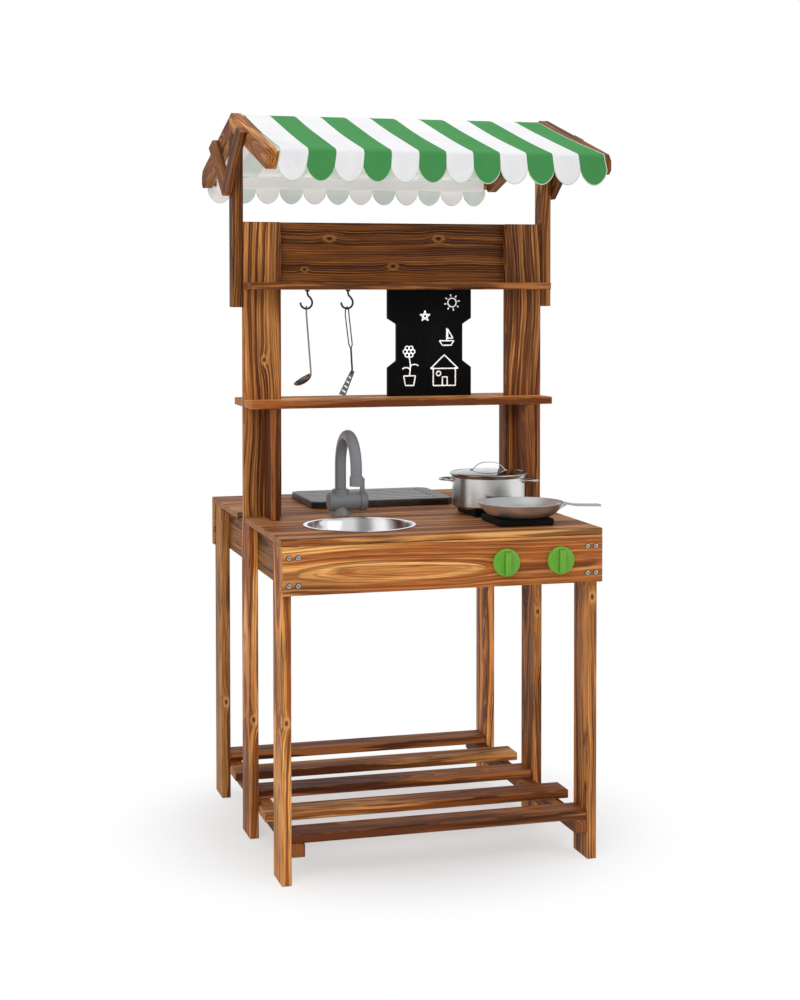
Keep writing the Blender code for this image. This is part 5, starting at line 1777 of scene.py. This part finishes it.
@dataclass
class Ware:
    """Sink, faucet, hob, pot with lid, pan, tray, knobs, hooks and utensils."""

    pot: tuple[float, float] = (0.168, -0.07575)
    lid_seat: float = 0.6953
    lid_turn: float = math.radians(-13.0)
    sink: tuple[float, float] = (-0.118, -0.17775)
    pan: tuple[float, float] = (0.180, -0.22975)
    ladle: Point = (-0.1941, -0.03775, 0.8828)
    turner: Point = (-0.106, -0.03775, 0.87)
    tray_margins: tuple[float, float] = (0.030, 0.026)
    dome_radius: float = 0.0715
    dome_rise: float = 0.0078
    dome_fall: float = 0.0056
    glass_thickness: float = 0.0016
    dome_steps: int = 14
    rim_profile: Profile = (
        (0.0700, 0.0030), (0.0722, 0.0034), (0.0745, 0.0028), (0.0762, 0.0016), (0.0765, 0.0006),
        (0.0755, 0.0004), (0.0675, 0.0004), (0.0665, -0.0028), (0.0652, -0.0028), (0.0660, 0.0008),
        (0.0690, 0.0014),
    )
    strap_half_width: float = 0.0042
    strap_thickness: float = 0.0012
    strap_top: float = 0.0215
    strap_rise: Profile = (
        (0.0340, 0.0046), (0.0322, 0.0062), (0.0285, 0.0100), (0.0235, 0.0150), (0.0185, 0.0183),
        (0.0130, 0.0203), (0.0070, 0.0212),
    )
    rivet_place: tuple[float, float] = (0.0335, 0.0050)
    rivet_sides: int = 20
    rivet_profile: Profile = (
        (0.0, 0.0), (0.0030, 0.0), (0.0030, 0.0026), (0.0020, 0.0034), (0.0, 0.0037),
    )
    round_nodes: tuple[str, ...] = (
        "pot", "frying_pan", "sink_bowl", "faucet_body", "faucet_spout", "faucet_lever", "knob_left",
        "knob_right", "hook_left", "hook_right", "ladle", "spatula",
    )

    def _lid(self) -> None:
        """Makes the glass lid with its steel rim, its strap handle and two rivets."""
        x, y = self.pot
        centre = (x, y, self.lid_seat)
        steel = BrushedSteel("lid_steel", centre, srgb(190, 190, 188), 0.20).finish()
        glass = LidGlass().finish()

        def dome(bm: bmesh.types.BMesh) -> None:
            """Turns the glass."""
            outer = []
            inner = []
            for step in range(self.dome_steps + 1):
                radius = self.dome_radius * step / self.dome_steps
                rise = self.dome_rise - self.dome_fall * (radius / self.dome_radius) ** 2
                outer.append((radius, rise))
                inner.append((radius, rise - self.glass_thickness))
            lathe(bm, outer + list(reversed(inner)), centre)

        def rim(bm: bmesh.types.BMesh) -> None:
            """Turns the rolled steel rim."""
            lathe(bm, self.rim_profile, centre)

        def strap(bm: bmesh.types.BMesh) -> None:
            """Bends the strap handle over the dome, and sets its rivets."""
            turn = Matrix.Translation(centre) @ Matrix.Rotation(self.lid_turn, 4, "Z")
            line = [(-reach, rise) for reach, rise in self.strap_rise]
            line += [(0.0, self.strap_top), *reversed(self.strap_rise)]
            half = self.strap_half_width
            rings: list[Ring] = []
            for index, (reach, rise) in enumerate(line):
                before = Vector(line[max(0, index - 1)])
                after = Vector(line[min(len(line) - 1, index + 1)])
                ahead = (after - before).normalized()
                up = Vector((-ahead.y, ahead.x)) * self.strap_thickness
                corners = []
                for across, lift in ((-half, 0), (half, 0), (half * 0.9, 1), (-half * 0.9, 1)):
                    place = Vector((reach + up.x * lift, across, rise + up.y * lift))
                    corners.append(bm.verts.new(turn @ place))
                rings.append(corners)
            skin(bm, rings)
            cap(bm, rings)
            away, lift = self.rivet_place
            for sign in (-1, 1):
                lathe(bm, self.rivet_profile, turn @ Vector((sign * away, 0, lift)), self.rivet_sides)

        made_glass = new_piece("lid_glass_dome", dome, [glass], "pot_lid")
        made_rim = new_piece("lid_rim", rim, [steel], "pot_lid")
        made_strap = new_piece("lid_strap_handle", strap, [steel], "pot_lid")
        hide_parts("pot_lid")

    def build(self) -> None:
        """Dresses the ware."""
        for name in self.round_nodes:
            shade_smoothly(name)
        x, y = self.pot
        pot_steel = BrushedSteel(
            "pot_steel", (x, y, 0.66), srgb(224, 223, 221), glints=5, glint_depth=0.42, glint_turn=0.4
        )
        dress_node("pot", pot_steel.finish())
        self._lid()
        x, y = self.pan
        pan_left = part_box("frying_pan")[0][0]
        steel = BrushedSteel(
            "pan_steel", (x, y, 0.64), srgb(244, 245, 247), 0.32, metallic=0.82,
            darker_beyond=2 * x - pan_left - 0.002, glints=2, glint_depth=0.50, glint_turn=0.9,
        )
        dress_node("frying_pan", steel.finish())
        x, y = self.sink
        sink_steel = BrushedSteel(
            "sink_steel", (x, y, 0.60), srgb(250, 250, 250), 0.19, glints=3, glint_depth=0.28
        )
        dress_node("sink_bowl", sink_steel.finish())
        faucet = Enamel("faucet_plastic", srgb(129, 132, 136), 0.40, 0.00008, coat=0.15).finish()
        for name in ("faucet_body", "faucet_spout", "faucet_lever"):
            dress_node(name, faucet)
        plate = Enamel("hob_plate", srgb(5, 5, 5), 0.60, 0.0001, specular=0.15).finish()
        for name in ("hob_plate_front", "hob_plate_rear"):
            dress_node(name, plate)
        for name in ("knob_left", "knob_right"):
            dress_node(name, self._knob_finish(name))
        dress_node("drain_tray", self._tray_finish())
        hook = Enamel("hook_dark_steel", srgb(56, 55, 53), 0.38, 0.0001, metallic=0.85).finish()
        for name in ("hook_left", "hook_right"):
            dress_node(name, hook)
        ladle_steel = BrushedSteel("ladle_steel", self.ladle, srgb(122, 121, 118), 0.26, 0.2)
        dress_node("ladle", ladle_steel.finish())
        turner_steel = BrushedSteel("turner_steel", self.turner, srgb(74, 72, 69), 0.30, 0.2)
        dress_node("spatula", turner_steel.finish())

    def _knob_finish(self, name: str) -> bpy.types.Material:
        """Builds one knob's finish: green plastic with a painted highlight on its rim, painted shade in the
        creases beside its grip, and the grip's sides painted lit on the left and shaded on the right.

        Args:
            name: the knob's node.

        Returns:
            The material.
        """
        surface = Surface(f"{name}_plastic")
        graph = surface.graph
        low, high = (Vector(corner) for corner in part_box(name))
        centre = (low + high) / 2
        radius = (high.x - low.x) / 2
        x, _, z = graph.parts(surface.seen_from(tuple(centre)))
        reach = graph.diagonal(x, z)
        # Painted highlight: the knob turns paler near its rim.
        rim = graph.smooth(reach, radius * 0.90, radius * 0.97)
        side, _, _ = graph.parts(graph.node("ShaderNodeTexCoord").outputs["Normal"])
        grip = graph.smooth(graph.math("ABSOLUTE", side), 0.5, 0.9)
        grip = graph.times(grip, graph.fade(reach, radius * 0.80, radius * 0.92))
        # Painted light on the grip: its left side is painted lit and its right side shaded.
        left = graph.fade(side, -0.5, 0.5)
        off = graph.math("ABSOLUTE", x)
        # Painted shade in the creases between the grip and the disc.
        crease_shade = graph.times(graph.smooth(off, 0.0030, 0.0042), graph.fade(off, 0.0056, 0.0072))
        crease_shade = graph.times(crease_shade, graph.fade(reach, radius * 0.86, radius * 0.95))
        marks = surface.dust(20.0)
        # Painted light mixed into the green: rim highlight, crease shade, then lit and shaded grip sides.
        colour = graph.mix(graph.times(rim, 0.5), srgb(96, 168, 32), srgb(134, 206, 74))
        colour = graph.mix(graph.times(crease_shade, 0.7), colour, srgb(54, 112, 14))
        sides = graph.mix(left, srgb(66, 132, 18), srgb(148, 214, 92))
        colour = graph.mix(graph.times(grip, 0.85), colour, sides)
        colour = graph.mix(graph.times(marks.outputs["Mask"], 0.15), colour, srgb(150, 208, 100))
        surface.set(Base_Color=colour, Roughness=graph.times_plus(marks.outputs["Fine"], 0.1, 0.34))
        surface.bump(marks.outputs["Fine"], 0.15, 0.0001)
        return surface.material

    def _tray_finish(self) -> bpy.types.Material:
        """Builds the tray's finish: black sides, a dark grey margin and a pale field inside it."""
        surface = Surface("tray_plastic")
        graph = surface.graph
        low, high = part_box("drain_tray")
        marks = surface.dust(18.0)
        x, y, z = graph.parts(surface.place)
        off_x = graph.math("ABSOLUTE", graph.minus(x, (low[0] + high[0]) / 2))
        off_y = graph.math("ABSOLUTE", graph.minus(y, (low[1] + high[1]) / 2))
        half_x = (high[0] - low[0]) / 2 - self.tray_margins[0]
        half_y = (high[1] - low[1]) / 2 - self.tray_margins[1]
        within = graph.fade(off_x, half_x - 0.0010, half_x)
        within_y = graph.fade(off_y, half_y - 0.0010, half_y)
        within = graph.times(within, within_y)
        top = graph.smooth(z, high[2] - 0.0055, high[2] - 0.0025)
        colour = graph.mix(top, srgb(20, 21, 22), graph.mix(within, srgb(52, 54, 55), srgb(196, 198, 198)))
        colour = graph.mix(graph.times(marks.outputs["Mask"], 0.3), colour, srgb(140, 143, 143))
        surface.set(Base_Color=colour, Roughness=graph.times_plus(marks.outputs["Fine"], 0.1, 0.34))
        surface.bump(marks.outputs["Fine"], 0.15, 0.0001)
        return surface.material


@dataclass
class Studio:
    """Pale floor, soft lamps and the camera."""

    lens: float = 65.95
    place: Point = (-0.96852, -3.4509, 1.05686)
    yaw: float = 15.8366
    pitch: float = 1.9233
    roll: float = 0.038
    shift: float = -0.151
    floor_glow: float = 0.50
    pale_from: tuple[float, float] = (0.26, 0.60)
    sky: float = 0.50
    dark_flags: float = 0.34

    def _camera(self) -> None:
        """Sets the camera where the photograph was taken."""
        data = bpy.data.cameras.new("photo_camera")
        data.sensor_fit = "VERTICAL"
        data.sensor_height = 36.0
        data.lens = self.lens
        data.shift_y = self.shift
        data.clip_end = 60.0
        camera = bpy.data.objects.new("photo_camera", data)
        yaw, pitch, roll = (math.radians(value) for value in (self.yaw, self.pitch, self.roll))
        turn = Matrix.Rotation(-yaw, 4, "Z") @ Matrix.Rotation(math.pi / 2 - pitch, 4, "X")
        camera.matrix_world = Matrix.Translation(self.place) @ turn @ Matrix.Rotation(-roll, 4, "Z")
        bpy.context.scene.collection.objects.link(camera)
        bpy.context.scene.camera = camera

    @staticmethod
    def _seen(graph: Graph) -> tuple[Socket, Socket]:
        """Tells which rays see the surroundings.

        Args:
            graph: the graph that gets the nodes.

        Returns:
            Whether it is a camera, glass or glossy ray, and whether it is a glossy one.
        """
        rays = graph.node("ShaderNodeLightPath").outputs
        seen = graph.math("MAXIMUM", rays["Is Camera Ray"], rays["Is Transmission Ray"])
        return graph.math("MAXIMUM", seen, rays["Is Glossy Ray"]), rays["Is Glossy Ray"]

    def _floor(self) -> None:
        """Lays the pale floor, which shows near white and keeps the object's shadow."""
        surface = Surface("studio_floor")
        graph = surface.graph
        tone = graph.smooth(graph.noise(surface.place, 60.0, 2.0), 0.0, 1.0, 0.93, 0.95)
        surface.set(Base_Color=graph.joined(tone, tone, tone), Roughness=0.9, Specular_IOR_Level=0.1)
        glow = graph.node("ShaderNodeEmission")
        glow.inputs["Strength"].default_value = 1.0
        seen, _ = self._seen(graph)
        x, y, _ = graph.parts(surface.place)
        fade = graph.smooth(graph.diagonal(x, y), *self.pale_from, self.floor_glow, 1.0)
        blend = graph.node("ShaderNodeMixShader")
        graph.put(blend.inputs[0], graph.times(seen, fade))
        graph.put(blend.inputs[1], surface.shader.outputs[0])
        graph.put(blend.inputs[2], glow.outputs[0])
        graph.put(surface.output.inputs["Surface"], blend.outputs[0])
        mesh = bpy.data.meshes.new("studio_floor")
        bm = bmesh.new()
        bmesh.ops.create_circle(bm, cap_ends=True, segments=96, radius=14.0)
        bm.to_mesh(mesh)
        bm.free()
        mesh.materials.append(surface.material)
        floor = bpy.data.objects.new("studio_floor", mesh)
        floor.location = (0, 0, -0.0004)
        bpy.context.scene.collection.objects.link(floor)

    def _lamp(self, name: str, place: Point, aim: Point, size: float, power: float) -> None:
        """Hangs one soft square lamp.

        Args:
            name: the lamp's name.
            place: where it hangs.
            aim: the point that it faces.
            size: its side in metres.
            power: its power in watts.
        """
        data = bpy.data.lights.new(name, "AREA")
        data.shape = "SQUARE"
        data.size = size
        data.energy = power
        lamp = bpy.data.objects.new(name, data)
        lamp.visible_glossy = name == "fill_lamp"
        direction = Vector(aim) - Vector(place)
        turn = direction.to_track_quat("-Z", "Y").to_matrix().to_4x4()
        lamp.matrix_world = Matrix.Translation(place) @ turn
        bpy.context.scene.collection.objects.link(lamp)

    def _world(self) -> None:
        """Makes the surroundings white to camera and glass, softer as light, and striped in gloss."""
        world = bpy.data.worlds.new("studio_world")
        bpy.context.scene.world = world
        world.use_nodes = True
        tree = world.node_tree
        tree.nodes.clear()
        graph = Graph(tree)
        seen, glossy = self._seen(graph)
        strength = graph.times_plus(seen, 1.0 - self.sky, self.sky)
        direction = graph.node("ShaderNodeTexCoord").outputs["Generated"]
        x, y, z = graph.parts(direction)
        around = graph.math("ARCTAN2", x, graph.times(y, -1.0))
        bands = graph.math("SINE", graph.times_plus(around, 4.6, 0.6))
        bands = graph.smooth(bands, -0.75, 0.65, self.dark_flags, 1.0)
        bands = graph.math("MAXIMUM", bands, graph.smooth(z, 0.45, 0.85))
        flags = graph.minus(1.0, graph.times(glossy, graph.minus(1.0, bands)))
        strength = graph.times(strength, flags)
        background = graph.node("ShaderNodeBackground")
        background.inputs["Color"].default_value = (1, 1, 1, 1)
        graph.put(background.inputs["Strength"], strength)
        output = graph.node("ShaderNodeOutputWorld")
        tree.links.new(background.outputs[0], output.inputs["Surface"])

    def build(self) -> None:
        """Sets camera, floor, world and lamps."""
        bpy.context.scene.view_settings.view_transform = "Standard"
        self._camera()
        self._floor()
        self._world()
        self._lamp("key_lamp", (-1.9, -2.9, 2.7), (0.0, 0.0, 0.75), 1.8, 42.0)
        self._lamp("fill_lamp", (2.4, -2.2, 1.7), (0.0, 0.0, 0.7), 2.2, 18.0)
        self._lamp("top_lamp", (0.2, 0.4, 3.1), (0.0, 0.0, 0.5), 1.6, 20.0)


def main() -> None:
    builders: tuple[tuple[str, object], ...] = (
        ("studio", Studio()), ("table", Table()), ("back", Back()), ("roof", Roof()), ("canopy", Canopy()),
        ("chalkboard", Chalkboard()), ("ware", Ware()),
    )
    for name, builder in builders:
        log.info("building %s", name)
        builder.build()


if __name__ == "__main__":
    main()
